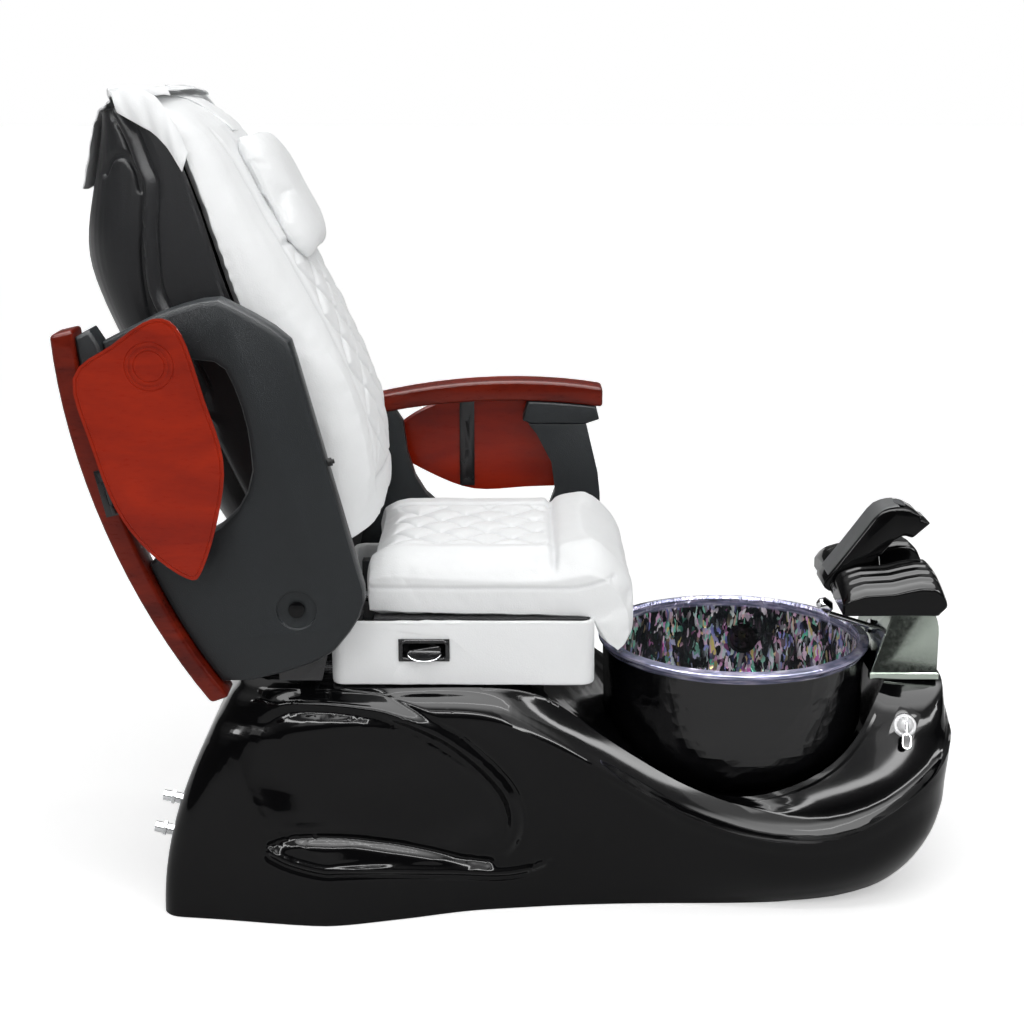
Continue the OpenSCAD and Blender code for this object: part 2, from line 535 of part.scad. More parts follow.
// Pipe along a path with mitred corners: each ring of points slides along the run to the next corner plane
module hose_run(path, r, sides = 16) {
  n = len(path);
  function way(i) = let (d = path[i + 1] - path[i]) d / norm(d);
  function plane(i) = i == n - 1 ? way(n - 2) : way(i - 1) + way(i);
  function next(ring, i) = [for (p = ring) p + way(i) * ((path[i + 1] - p) * plane(i + 1)) / (way(i) * plane(i + 1))];
  u = cross(way(0), [0, 0, 1]) / norm(cross(way(0), [0, 0, 1]));
  v = cross(way(0), u);
  start = [for (k = [0:sides - 1]) path[0] + r * (cos(360 * k / sides) * u + sin(360 * k / sides) * v)];
  rings = [for (i = 0, ring = start; i < n; ring = i < n - 1 ? next(ring, i) : ring, i = i + 1) ring];
  points = [for (ring = rings, p = ring) p];
  faces = concat([[for (k = [0:sides - 1]) k]],
    [for (i = [0:n - 2], k = [0:sides - 1]) let (a = i * sides, q = (k + 1) % sides)
      each [[a + k, a + sides + q, a + q], [a + k, a + sides + k, a + sides + q]]],
    [[for (k = [sides - 1:-1:0]) (n - 1) * sides + k]]);
  polyhedron(points, faces, convexity = 6);
}
module supply_hoses() color([0.7, 0.7, 0.72]) for (i = [0, 1]) {
  p = inlet_spots[i] + [27, 0, -5.7];
  drop = -560 - 18 * i;
  z = chassis_z + tube + 32 - 18 * i;
  hose_run([p, [drop, hose_y, p[2]], [drop, hose_y, z], [600, hose_y, z],
    mixer_point(-9 + 18 * i, -110), mixer_point(-9 + 18 * i, -40.3)], hose_r);
}

// ---- pedestal and footrest -----------------------------------------------------------------

ledge_h = 12;
pedestal_rear = 661;
pedestal_front = bow - 20;
pedestal_top_rear = 702;
pedestal_slope = (pedestal_top_rear - pedestal_rear) / (foot_z - 0.3 - deck_z - ledge_h);
// Length of spout from its root to the pedestal's rear face
spout_out = (spout_root[0] - pedestal_rear - pedestal_slope * (spout_root[2] - deck_z - ledge_h))
  / (cos(spout_rise) + pedestal_slope * sin(spout_rise));
module pedestal() color([0.45, 0.5, 0.45]) difference() {
  union() {
    translate([0, pedestal_half, 0]) rotate([90, 0, 0]) linear_extrude(2 * pedestal_half)
      polygon(concat([[pedestal_rear, deck_z + ledge_h], [pedestal_front, deck_z + ledge_h],
        [pedestal_front, deck_z + 60]],
        [for (a = [0:15:90]) [pedestal_front - 30 + 30 * cos(a), foot_z - 50 + 49.7 * sin(a)]],
        [[pedestal_top_rear, foot_z - 0.3]]));
    box_at([pedestal_rear - 2, -pedestal_half - 4, deck_z + gap], [pedestal_front + 3, pedestal_half + 4, deck_z + ledge_h]);
  }
  translate([bowl_x, 0, deck_z - 5]) cylinder(h = foot_z - deck_z, r = bowl_r + 8);
  along_spout() translate([0, 0, -0.3]) cylinder(h = 90, r = spout_r + 0.3);
}

// Footrest: crowned platform with ribbed foot pads on each side of a channel
foot_rear = 574;
foot_front = 784;
foot_top = foot_z + 80;
channel_half = flap_half + 6;
channel_z = foot_z + 6;
foot_profile = concat([[foot_rear + 20, foot_z], [foot_front - 30, foot_z]],
  [for (a = [-90:22.5:0]) [foot_front - 22 + 22 * cos(a), foot_z + 22 + 22 * sin(a)]],
  cubic_run([[foot_front, foot_z + 28], [foot_front - 6, foot_z + 62], [foot_front - 22, foot_top], [foot_front - 50, foot_top]], 6),
  cubic_run([[foot_front - 62, foot_top - 1], [foot_rear + 110, foot_top - 14], [foot_rear + 60, foot_top - 14], [foot_rear + 34, foot_top - 22]], 6),
  [[foot_rear + 24, foot_top - 36], [foot_rear + 20, foot_z + 20]]);
module footrest_platform() color([0.04, 0.04, 0.045]) difference() {
  union() {
    for (side = [-1, 1])
      translate([0, side > 0 ? foot_half : -channel_half, 0]) rotate([90, 0, 0])
        linear_extrude(foot_half - channel_half) polygon(foot_profile);
    box_at([foot_rear + 20, -foot_half + 20, foot_z], [foot_front - 30, foot_half - 20, channel_z]);
    for (side = [-1, 1], i = [0:3]) let (y = side * (channel_half + 16 + 26 * i))
      translate([0, y + 7, 0]) rotate([90, 0, 0]) linear_extrude(14) polygon(
        [for (p = foot_profile) if (p[1] > foot_z + 45) [p[0] - (p[0] > foot_front - 40 ? 4 : 0), p[1] + 5]]);
  }
  y_rod(support_axis[0], support_axis[1], -channel_half - 20, channel_half + 20, pin_r + fit);
  // Slot and sloping shelf for the foot of the stay
  translate([0, 8, 0]) rotate([90, 0, 0]) linear_extrude(16) polygon([[632, foot_z - 1], [stay_foot[0] - 3, foot_z - 1],
    [stay_foot[0] - 3, channel_z - 1.8], [stay_foot[0] + 3, channel_z], [stay_foot[0] + 3, channel_z + 9], [632, channel_z + 9]]);
}
support_axis = [596, 543];
pin_r = 5;
module support_pin() color([0.7, 0.7, 0.72])
  y_rod(support_axis[0], support_axis[1], -channel_half - 18, channel_half + 18, pin_r);

// Middle support: bent beam, thick over its hinge and hooked at its tip
support_profile = concat([[588, 532], [578, 540], [581, 552]],
  cubic_run([[600, 576], [628, 614], [652, 648], [668, 670]], 4),
  cubic_run([[680, 682], [698, 690], [716, 691], [732, 687]], 4),
  [[752, 677], [753, 668], [772, 662], [740, 633], [724, 638]],
  cubic_run([[706, 628], [690, 610], [664, 580], [640, 556]], 5), [[616, 536], [604, 530]]);
module footrest_support() color([0.14, 0.14, 0.15]) difference() {
  translate([0, flap_half, 0]) rotate([90, 0, 0]) linear_extrude(2 * flap_half) polygon(support_profile);
  y_rod(support_axis[0], support_axis[1], -flap_half - 1, flap_half + 1, pin_r + fit);
  y_rod(stay_top[0], stay_top[1], -16.3, 16.3, 2.5 + fit);
  translate([0, 8, 0]) rotate([90, 0, 0]) linear_extrude(16) polygon([stay_top + [1, 8], stay_top + [-69, -62],
    stay_top + [-42, -96], stay_top + [18, -10]]);
}
stay_top = [682, 616];
stay_foot = [694, channel_z];
module prop_stay() color([0.8, 0.8, 0.82]) {
  y_rod(stay_top[0], stay_top[1], -16, 16, 2.5);
  d = [stay_foot[0] - stay_top[0], stay_foot[1] - stay_top[1]];
  translate([stay_top[0], 0, stay_top[1]]) rotate([0, atan2(d[0], d[1]), 0]) cylinder(h = norm(d) - 0.6, r = 2.2);
}

// ---- seat ----------------------------------------------------------------------------------

rail_y = 180;
rail_h = 14;
module seat_rails() color([0.6, 0.6, 0.62]) both_sides() {
  box_at([-450, rail_y - 15, platform_z + 0.2], [12, rail_y + 15, platform_z + rail_h]);
  for (x = [-445, 2]) box_at([x, rail_y - 15, platform_z + rail_h], [x + 10, rail_y + 15, platform_z + rail_h + 4]);
}
carriage_z = platform_z + rail_h + gap;
carriage_rear = -300;
carriage_front = -5;
module seat_carriage() color([0.25, 0.25, 0.27]) {
  both_sides() difference() {
    box_at([carriage_rear, rail_y - 22, platform_z + 3], [carriage_front, rail_y + 22, carriage_z + 8]);
    box_at([carriage_rear - 1, rail_y - 15 - gap, platform_z], [carriage_front + 1, rail_y + 15 + gap, carriage_z]);
  }
  for (x = [carriage_rear, carriage_front - 40])
    box_at([x, -rail_y - 22, carriage_z + 8], [x + 40, rail_y + 22, carriage_z + 38]);
  both_sides() for (x = [carriage_rear, carriage_front - 40])
    box_at([x + 5, rail_y - 15, carriage_z + 38], [x + 35, rail_y + 15, seat_z - 14]);
  // Rear cross tube out to the side plates, and its two links
  box_at([-arm_pivot_x - 15, -plate_in, carriage_z + 10], [-arm_pivot_x + 15, plate_in, carriage_z + 36]);
  both_sides() box_at([-arm_pivot_x + 15, rail_y - 60, carriage_z + 10], [carriage_rear, rail_y - 30, carriage_z + 34]);
}
plate_in = 278;
plate_t = 6;
module side_plates() color([0.3, 0.3, 0.32]) both_sides() difference() {
  translate([0, plate_in + plate_t, 0]) rotate([90, 0, 0]) linear_extrude(plate_t) polygon([
    [-arm_pivot_x - 40, carriage_z + 2], [-arm_pivot_x + 34, carriage_z + 2], [-back_pivot_x + 34, back_pivot_z - 10],
    [-back_pivot_x + 30, back_pivot_z + 26], [-back_pivot_x - 26, back_pivot_z + 34], [-arm_pivot_x - 36, arm_pivot_z + 20],
    [-arm_pivot_x - 44, arm_pivot_z - 40]]);
  y_rod(-arm_pivot_x, arm_pivot_z, plate_in - 1, plate_in + plate_t + 1, bolt_r - 2 + fit);
  y_rod(-back_pivot_x, back_pivot_z, plate_in - 1, plate_in + plate_t + 1, back_pin_r + fit);
}
module seat_board() color([0.75, 0.6, 0.4]) difference() {
  translate([0, 0, seat_z - 14]) linear_extrude(12) polygon(apron_outline(apron_t + gap));
  box_at([-120, -60, seat_z - 16], [90, 60, seat_z]);
  box_at([apron_rear, -apron_half, seat_z - 16], [seat_rear + 16, apron_half, seat_z]);
}

// Seat box: upholstered skirt round the mechanism, open below, with the lever's pocket
apron_rear = -316;
apron_front = 145;
apron_t = 10;
pocket = [-195, -112, 474, 508];
module seat_apron() color([0.93, 0.93, 0.92]) difference() {
  translate([0, 0, platform_z + 2]) linear_extrude(seat_z - 3.4 - platform_z - 2) difference() {
    polygon(apron_outline(0));
    polygon(apron_outline(apron_t));
  }
  box_at([pocket[0], -apron_half - 1, pocket[2]], [pocket[1], -apron_half + apron_t + 1, pocket[3]]);
  box_at([apron_rear - 1, -apron_half + 30, platform_z], [apron_rear + apron_t + 1, apron_half - 30, seat_z]);
}
corner_r = 24;
function apron_outline(t) = [for (c = [[apron_front - t, apron_half - t, 0], [apron_rear + t, apron_half - t, 90],
    [apron_rear + t, -apron_half + t, 180], [apron_front - t, -apron_half + t, 270]], a = [0:22.5:90])
  let (r = max(4, corner_r - t), sx = c[2] == 0 || c[2] == 270 ? -1 : 1, sy = c[2] < 180 ? -1 : 1)
    [c[0] + sx * r + r * cos(c[2] + a), c[1] + sy * r + r * sin(c[2] + a)]];

module lever_bezel() color([0.05, 0.05, 0.05]) difference() {
  union() {
    box_at([pocket[0] + 0.3, -apron_half - 1.5, pocket[2] + 0.3], [pocket[1] - 0.3, -apron_half + 34, pocket[3] - 0.3]);
    box_at([pocket[0] - 3, -apron_half - 2.5, pocket[2] - 3], [pocket[1] + 3, -apron_half - 0.3, pocket[3] + 3]);
  }
  box_at([pocket[0] + 4, -apron_half - 4, pocket[2] + 4], [pocket[1] - 4, -apron_half + 30, pocket[3] - 4]);
  y_rod(lever_axis[0], lever_axis[1], -apron_half + 20, -apron_half + 36, 4 + fit);
}
lever_axis = [-130, 491];
module slide_lever() color([0.1, 0.1, 0.1]) {
  y_rod(lever_axis[0], lever_axis[1], -apron_half + 6, -apron_half + 33, 4);
  hull() {
    y_rod(lever_axis[0], lever_axis[1], -apron_half + 2, -apron_half + 8, 6, $fn = 24);
    y_rod(pocket[0] + 22, pocket[2] + 12, -apron_half - 6, -apron_half + 2, 6, $fn = 24);
  }
}

// Seat cushion: box crown, diamond quilting between bolsters, front roll and calf flap
roll_x = 70;
seat_nx = 24;
seat_ny = 20;
quilt_half = 132;
function diamond(x, y, p) = let (a = (x / p + y / p), b = (x / p - y / p))
  min(abs(a - round(a)), abs(b - round(b)));
function seat_top(x, y) =
  let (u = (x - seat_rear) / (seat_front - seat_rear), v = abs(y) / seat_half,
       roll = 14 * exp(-pow((x - 150) / 62, 2)), front = 70 * pow(clamp01((x - 130) / (seat_front - 130)), 2.6),
       rear = 16 * pow(clamp01((seat_rear + 70 - x) / 70), 2), edge = 34 * pow(v, 6),
       bolster = 12 * exp(-pow((abs(y) - 190) / 44, 2)),
       inside = smooth((quilt_half + 14 - abs(y)) / 14) * smooth((roll_x - x) / 16) * smooth((x - seat_rear - 30) / 20))
    seat_z + seat_pad - 8 + roll + bolster - front - rear - edge
      - 5 * inside * pow(1 - 2 * diamond(x, y, 2 * quilt), 3) - 6 * exp(-pow((x - roll_x - 4) / 9, 2)) * smooth((220 - abs(y)) / 40);
function seat_low(x, y) = x < 150 ? seat_z - 1.5 : seat_z - 1.5 - 72 * smooth((x - 150) / 18) + 34 * pow(clamp01((x - 176) / 36), 2);
module seat_cushion() color([0.95, 0.95, 0.94]) {
  grid = [for (i = [0:seat_nx]) let (x = mix(seat_rear, seat_front, pow(i / seat_nx, 0.85)))
    [for (j = [0:seat_ny]) let (v = 2 * j / seat_ny - 1, squash = 1 - 0.05 * pow(abs(x - 0) / 260, 3),
      y = seat_half * squash * sin(90 * v) / sin(90)) [x, y]]];
  grid_solid([for (r = grid) [for (p = r) [p[0], p[1], seat_top(p[0], p[1])]]],
             [for (r = grid) [for (p = r) [p[0], p[1] * 0.985, seat_low(p[0], p[1])]]]);
}

// Recline actuator: motor and tube on the carriage, rod with a slotted fork round the back's lever pin
lever_arm = 95;
recline = 35;
drive_z = back_pivot_z - lever_arm * cos(recline / 2);
drive_x = -back_pivot_x - lever_arm * sin(recline / 2);
actuator_r = 20;
module actuator_body() color([0.2, 0.2, 0.22]) difference() {
  union() {
    x_rod(0, drive_z, -170, 60, actuator_r);
    translate([20, 0, drive_z]) rotate([0, 90, 0]) cylinder(h = 60, r = actuator_r + 6);
    box_at([carriage_front - 30, -24, carriage_z + 38], [carriage_front - 10, 24, drive_z]);
  }
  x_rod(0, drive_z, -171, 12, rod_r + fit);
}
rod_r = 10;
lever_pin_r = 6;
fork_play = 7;
module actuator_rod() color([0.75, 0.75, 0.77]) difference() {
  union() {
    x_rod(0, drive_z, drive_x + 34, -90, rod_r);
    box_at([drive_x - 16, -12, drive_z - 22], [drive_x + 36, 12, drive_z + 22]);
  }
  box_at([drive_x - 8, -13, drive_z - lever_pin_r - fork_play], [drive_x + 8, 13, drive_z + lever_pin_r + fork_play]);
  box_at([drive_x - 17, -5, drive_z - 23], [drive_x + 28, 5, drive_z + 23]);
}

// ---- back ----------------------------------------------------------------------------------
// Drawn upright from the pivot: x is forward of the back's plane, z runs up along the back.

module on_back() translate([-back_pivot_x, 0, back_pivot_z]) rotate([0, -back_tilt, 0]) children();

back_key_len = 885;
function back_edge(u) = key([[0, 26], [250, 46], [400, 52], [530, 44], [690, 52], [811, 46], [862, 20], [885, -8]],
  u * back_key_len / back_len);
function back_wide(u) = back_half * key([[0, 0.93], [120, 0.98], [400, 1], [700, 0.98], [820, 0.94], [885, 0.86]],
  u * back_key_len / back_len);
function back_seam(u) = key([[0, -42], [250, -62], [400, -72], [540, -78], [656, -58], [763, -14], [840, -14], [885, -30]],
  u * back_key_len / back_len) - 6;
function back_hump(u) = key([[0, -100], [100, -140], [178, -158], [250, -168], [400, -188], [511, -202], [628, -208],
  [690, -196], [781, -142], [850, -96], [885, -76]], u * back_key_len / back_len);
function back_front(u) = key([[0, 112], [40, 124], [234, 174], [380, 172], [495, 160], [650, 132], [775, 108], [822, 82],
  [860, 48], [885, 4]], u * back_key_len / back_len);

shell_low = 24;
function shell_section(u, t) =
  let (w = back_wide(u) - t - 2, e = back_edge(u) - 6, s = min(back_seam(u), e - 14), h = back_hump(u) + t)
  concat([[w, e], [w - 1, mix(e, s, 0.5)], [w - 10, s + 14], [w - 15, s + 3], [w - 22, s - 6], [w - 34, s - 7]],
    [for (a = [0:15:90]) [(w - 40) * pow(cos(a), 0.8), mix(s - 10 + t, h, pow(sin(a), 0.85))]]);
function mirror_row(half, u) = concat([for (p = half) [p[1], -p[0], u]],
  [for (i = [len(half) - 2:-1:0]) [half[i][1], half[i][0], u]]);
module back_shell() color([0.2, 0.2, 0.21]) on_back() difference() {
  us = [for (i = [0:20]) mix(shell_low, back_len - 6, i / 20)];
  grid_solid([for (u = us) mirror_row(shell_section(u, back_t), u)],
             [for (u = us) mirror_row(shell_section(u, 0), u)]);
}

frame_half = 205;
module back_frame() color([0.3, 0.3, 0.32]) {
  on_back() {
    both_sides() {
      box_at([-22, frame_half - 20, -16], [6, frame_half, back_len - 70]);
      box_at([-14, frame_half, -18], [14, plate_in - gap, 18]);
    }
    for (u = [60, 420, back_len - 95]) box_at([-18, -frame_half, u], [6, frame_half, u + 25]);
    for (u = [60, back_len - 95]) both_sides() box_at([-12, frame_half, u], [6, back_wide(u) - back_t - (u > 60 ? 23 : 16), u + 22]);
  }
  both_sides() y_rod(-back_pivot_x, back_pivot_z, plate_in - 20, plate_in + plate_t + 4, back_pin_r);
  // Lever that the actuator pulls, and its pin
  difference() {
    hull() {
      y_rod(-back_pivot_x, back_pivot_z, -4, 4, 15, $fn = 32);
      y_rod(drive_x, drive_z, -4, 4, 11, $fn = 32);
    }
    box_at([-back_pivot_x - 30, -5, back_pivot_z + 12], [-back_pivot_x + 30, 5, back_pivot_z + 30]);
  }
  y_rod(drive_x, drive_z, -12, 12, lever_pin_r);
  y_rod(-back_pivot_x, back_pivot_z, -frame_half, frame_half, 9);
}

// Back cushion: crowned front with side bolsters and a quilted middle panel
pad_low = 52;
back_nu = 28;
back_ny = 20;
function back_top(u, y) =
  let (w = back_wide(u), v = min(1, abs(y) / w), e = back_edge(u), f = back_front(u),
       bolster = 26 * exp(-pow((v - 0.82) / 0.13, 2)) * smooth((470 - u) / 160) * smooth((u - 40) / 120),
       inside = smooth((128 - abs(y)) / 14) * smooth((560 - u) / 20) * smooth((u - 110) / 20),
       crown = e + (f - e) * pow(max(0, 1 - pow(v, 3.2)), 0.55))
    crown + bolster * (1 - pow(v, 10)) - 5 * inside * pow(1 - 2 * diamond(u, y, 2 * quilt), 3);
module back_cushion() color([0.95, 0.95, 0.94]) on_back() {
  grid = [for (i = [0:back_nu]) let (u = mix(pad_low, back_len, i / back_nu))
    [for (j = [0:back_ny]) let (v = 2 * j / back_ny - 1) [u, back_wide(u) * sin(90 * v)]]];
  grid_solid([for (r = grid) [for (p = r) [back_top(p[0], p[1]), p[1], p[0]]]],
             [for (r = grid) [for (p = r) [back_edge(p[0]) - 4.5, p[1] * 0.99, p[0]]]]);
}

// Leather cover flap: lies on the top edge, flares at its corners and hangs behind
flap_t = 3;
flap_run = [[18, 2.6, 1, 0], [-10, 4, 1, 0], [-32, 2.6, 0.98, 0], [-40, 2.6, 0.56, 0], [-78, 2.4, 0.5, 0],
  [-97, 0, 0.47, 12], [-129, -56, 0.46, 19], [-160, -102, 0.46, 24]];
function flap_at(k, v, t) = let (p = flap_run[k], hang = smooth((k - 4) / 2))
  [p[0] + p[3] * v * v + t * hang, back_wide(back_len) * p[2] * v,
   back_len + p[1] + (k < 3 ? 16 * pow(abs(v), 4) : 0) - t * (1 - hang)];
module top_flap() color([0.95, 0.95, 0.94]) on_back()
  grid_solid([for (k = [0:len(flap_run) - 1]) [for (j = [0:10]) flap_at(k, j / 5 - 1, 0)]],
             [for (k = [0:len(flap_run) - 1]) [for (j = [0:10]) flap_at(k, j / 5 - 1, flap_t)]]);

// Head pillow, its strap over the top and its clip
pillow_low = 522;
pillow_high = 772;
pillow_deep = 54;
pillow_n = 14;
// Point of the pillow at shares a and b of its height and width: [u, y, rear, depth]
function pillow_at(a, b) =
  let (fade = sqrt(max(0, (1 - pow(abs(a), 3.5)) * (1 - pow(abs(b), 3.5)))),
       u = mix(pillow_low, pillow_high, 0.5 + 0.5 * a), y = pillow_half * b * (1 - 0.28 * pow(abs(a), 5)))
    [u, y, back_front(u) + 5 + 10 * a * a, pillow_deep * fade];
pillow_grid = [for (i = [0:pillow_n]) [for (j = [0:pillow_n])
  pillow_at(sin(90 * (2 * i / pillow_n - 1)), sin(90 * (2 * j / pillow_n - 1)))]];
module pillow() color([0.95, 0.95, 0.94]) on_back()
  grid_solid([for (r = pillow_grid) [for (p = r) [p[2] + 10 + p[3], p[1], p[0]]]],
             [for (r = pillow_grid) [for (p = r) [p[2] + 1.3 - 6 * p[3] / pillow_deep, p[1], p[0]]]]);
strap_half = 32;
module pillow_strap() color([0.9, 0.9, 0.89]) on_back() {
  us = [for (i = [0:8]) mix(pillow_high + 6, back_len - 6, i / 8)];
  grid_solid([for (u = us) [for (y = [-strap_half, 0, strap_half]) [back_top(u, 0) + 9, y, u]]],
             [for (u = us) [for (y = [-strap_half, 0, strap_half]) [back_top(u, 0) + 5, y, u]]]);
}

// Massage mechanism: two guide rails, a carriage that climbs them and kneading rollers
guide_y = 120;
guide_x = -60;
guide_r = 8;
travel_low = 150;
carriage_u = 420;
module massage_rails() color([0.7, 0.7, 0.72]) on_back() both_sides() {
  translate([guide_x, guide_y, 66]) cylinder(h = back_len - 170, r = guide_r);
  for (u = [60, back_len - 95]) box_at([guide_x - 12, guide_y - 12, u], [-18.3, guide_y + 12, u + 22]);
}
knead_x = -40;
module massage_carriage() color([0.2, 0.2, 0.22]) on_back() {
  difference() {
    union() {
      box_at([guide_x - 26, -guide_y - 22, carriage_u - 40], [guide_x + 20, guide_y + 22, carriage_u + 40]);
    }
    both_sides() translate([guide_x, guide_y, carriage_u - 41]) cylinder(h = 82, r = guide_r + fit);
    box_at([guide_x - 19, -guide_y + 24, carriage_u - 30], [guide_x + 21, guide_y - 24, carriage_u + 30]);
    y_rod(knead_x - 8, carriage_u, -guide_y + 14, guide_y - 14, 7 + fit);
  }
}
module massage_rollers() color([0.85, 0.75, 0.55]) on_back() {
  y_rod(knead_x - 8, carriage_u, -guide_y + 15, guide_y - 15, 7);
  for (y = [-70, -26, 18, 62]) y_rod(knead_x - 8 + 3, carriage_u, y, y + 14, 24);
}

// ---- arms ----------------------------------------------------------------------------------
// Drawn lowered, from the pivot: x forward, y up, then stood up on each side.

module arm_side(side, lift) scale_side(side) translate([-arm_pivot_x, 0, arm_pivot_z]) rotate([0, -lift, 0]) children();
// Turns a slab drawn in x and y into one that stands from distance y0 outwards
module stand(y0) translate([0, y0, 0]) rotate([90, 0, 0]) mirror([0, 0, 1]) children();

rail_low_at = [[-118, 147], [60, 236], [330, 262], [546, 231]];
panel_outline = concat([[-84, -48]],
  cubic_run([[-60, -78], [-38, -104], [-16, -119], [8, -119]], 3), [[222, -112], [409, -106]],
  cubic_run([[446, -104], [474, -88], [500, -56], [526, -26]], 3),
  cubic_run([[540, -8], [546, 18], [544, 50], [538, 96]], 3), [[514, 196], [398, 196]],
  [[414, 176], [444, 118], [452, 60], [440, 26]],
  cubic_run([[424, 12], [390, 2], [330, -2], [286, 6]], 4),
  cubic_run([[250, 12], [192, 34], [154, 80], [146, 200]], 5), [for (t = [0.4:-0.06:0.04]) cubic(rail_low_at, t) - [0, gap]],
  cubic_run([[-106, 110], [-108, 40], [-100, -10], [-90, -36]], 3));
module arm_panel(side, lift) color([0.2, 0.21, 0.23]) arm_side(side, lift) difference() {
  stand(arm_in) linear_extrude(arm_t) polygon(panel_outline);
  translate([0, arm_in - 1, 0]) rotate([-90, 0, 0]) cylinder(h = arm_t + 2, r = bolt_r + fit);
  translate([0, arm_in + arm_t - 6, 0]) rotate([-90, 0, 0]) cylinder(h = 10, r = 34);
}

rail_low = cubic_run(rail_low_at, 16);
rail_top = cubic_run([[546, 270], [336, 306], [80, 272], [-122, 180]], 16);
rail_in = 291;
module arm_rail(side, lift) color([0.33, 0.07, 0.03]) arm_side(side, lift)
  stand(rail_in) linear_extrude(rail_w) polygon(concat(rail_low, rail_top));
module arm_block(side, lift) color([0.16, 0.17, 0.18]) arm_side(side, lift)
  stand(rail_in + 2) bevel_slab(concat([[386, 204], [402, 196.5], [512, 196.5], [540, 206]],
    [for (t = [0.98:-0.04:0.77]) cubic(rail_low_at, t) - [0, gap]]), rail_w - 8, 3, 5);

tray_outline = loop_smooth([[470, 240], [506, 168], [532, 92], [500, 60], [391, 52], [287, 48], [200, 80],
  [120, 128], [112, 152], [170, 200], [250, 232], [360, 242]], 4);
tray_in = 371;
hinge_x = 273;
hinge_up = 246;
hinge_out = rail_in + rail_w + 5;
strip_t = 4;
module tray_hinge(side, lift) color([0.08, 0.08, 0.08]) arm_side(side, lift) {
  difference() {
    box_at([hinge_x - 40, rail_in + rail_w + 0.3, hinge_up - 10], [hinge_x + 40, rail_in + rail_w + 2.4, hinge_up + 16]);
    box_at([hinge_x - 19.6, rail_in + rail_w, hinge_up - 11], [hinge_x + 19.6, rail_in + rail_w + 3, hinge_up + 6]);
  }
  for (x = [-36, 20]) translate([hinge_x + x, hinge_out, hinge_up]) rotate([0, 90, 0]) cylinder(h = 16, r = 4.6);
  translate([hinge_x - 36, hinge_out, hinge_up]) rotate([0, 90, 0]) cylinder(h = 72, r = 2);
}
module tray_strip(side, lift) color([0.06, 0.06, 0.06]) arm_side(side, lift) difference() {
  union() {
    box_at([hinge_x - 15, tray_in - strip_t - 0.1, 54], [hinge_x + 15, tray_in - 0.1, hinge_up - 4.9]);
    translate([hinge_x - 19, hinge_out, hinge_up]) rotate([0, 90, 0]) cylinder(h = 38, r = 4.6);
    box_at([hinge_x - 15, hinge_out - 1, hinge_up - 6], [hinge_x + 15, hinge_out + 3.6, hinge_up - 2]);
  }
  translate([hinge_x - 20, hinge_out, hinge_up]) rotate([0, 90, 0]) cylinder(h = 40, r = 2 + fit);
  for (z = [70, 130, 190]) translate([hinge_x, tray_in - strip_t - 1, z]) rotate([-90, 0, 0]) cylinder(h = 2, r = 4);
}
cup = [464, 119];
cup_r = 34;
module tray(side, lift) color([0.5, 0.13, 0.03]) arm_side(side, lift) difference() {
  stand(tray_in) bevel_slab(tray_outline, tray_t, 2, 5);
  translate([cup[0], tray_in + tray_t - 1.2, cup[1]]) rotate([-90, 0, 0]) difference() {
    cylinder(h = 3, r = cup_r);
    cylinder(h = 3, r = cup_r - 3);
  }
}
module arm_bumper(side, lift) color([0.05, 0.05, 0.05]) arm_side(side, lift)
  translate([233, arm_in + 24, -112.4]) rotate([180, 0, 0]) {
    cylinder(h = 7, r = 7);
    cylinder(h = 11, r = 4);
  }
module arm_pivot_bolts() color([0.15, 0.15, 0.16]) both_sides() translate([-arm_pivot_x, 0, arm_pivot_z]) {
  y_rod(0, 0, plate_in - 8, plate_in + plate_t + 6, bolt_r - 2);
  y_rod(0, 0, plate_in + plate_t + 0.3, arm_in + arm_t - 2, bolt_r);
  y_rod(0, 0, arm_in + arm_t - 5.4, arm_in + arm_t - 1, bolt_r + 5);
  y_rod(0, 0, plate_in - 10, plate_in - 0.3, bolt_r + 5);
}

// ---- assembly ------------------------------------------------------------------------------

base_shell();
chassis_frame();
levelling_feet();
bowl();
drain_flange();
drain_stopper();
drain_pipe();
jet_cover();
jet_motor();
mixer_plate();
mixer_valve();
mixer_dome();
mixer_lever();
spout_arm();
spray_head();
pedestal();
footrest_platform();
footrest_support();
support_pin();
prop_stay();
water_inlets();
supply_hoses();
control_box();
power_inlet();
seat_rails();
seat_carriage();
side_plates();
seat_board();
seat_cushion();
seat_apron();
lever_bezel();
slide_lever();
actuator_body();
actuator_rod();
back_shell();
back_frame();
back_cushion();
top_flap();
pillow();
pillow_strap();
massage_rails();
massage_carriage();
massage_rollers();
arm_pivot_bolts();
arm_panel(-1, arm_fold);  // right_arm_panel
arm_rail(-1, arm_fold);  // right_arm_rail
arm_block(-1, arm_fold);  // right_arm_block
tray_hinge(-1, arm_fold);  // right_tray_hinge
tray_strip(-1, arm_fold);  // right_tray_strip
tray(-1, arm_fold);  // right_tray
arm_bumper(-1, arm_fold);  // right_arm_bumper
arm_panel(1, 0);  // left_arm_panel
arm_rail(1, 0);  // left_arm_rail
arm_block(1, 0);  // left_arm_block
tray_hinge(1, 0);  // left_tray_hinge
tray_strip(1, 0);  // left_tray_strip
tray(1, 0);  // left_tray
arm_bumper(1, 0);  // left_arm_bumper
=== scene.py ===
# %% [markdown]
# # Pedicure spa chair
# A pedicure chair is four things bolted together: a gloss black shell on the floor, a glass bowl with
# a footrest over it, an upholstered seat on rails, and two arms that swing up to let the client in.
# The solid model gives every part its place. This script dresses it: it loads the solids as a fixed
# frame, replaces the ones whose surface needs more detail, and gives each a finish built from nodes.

import json
import math

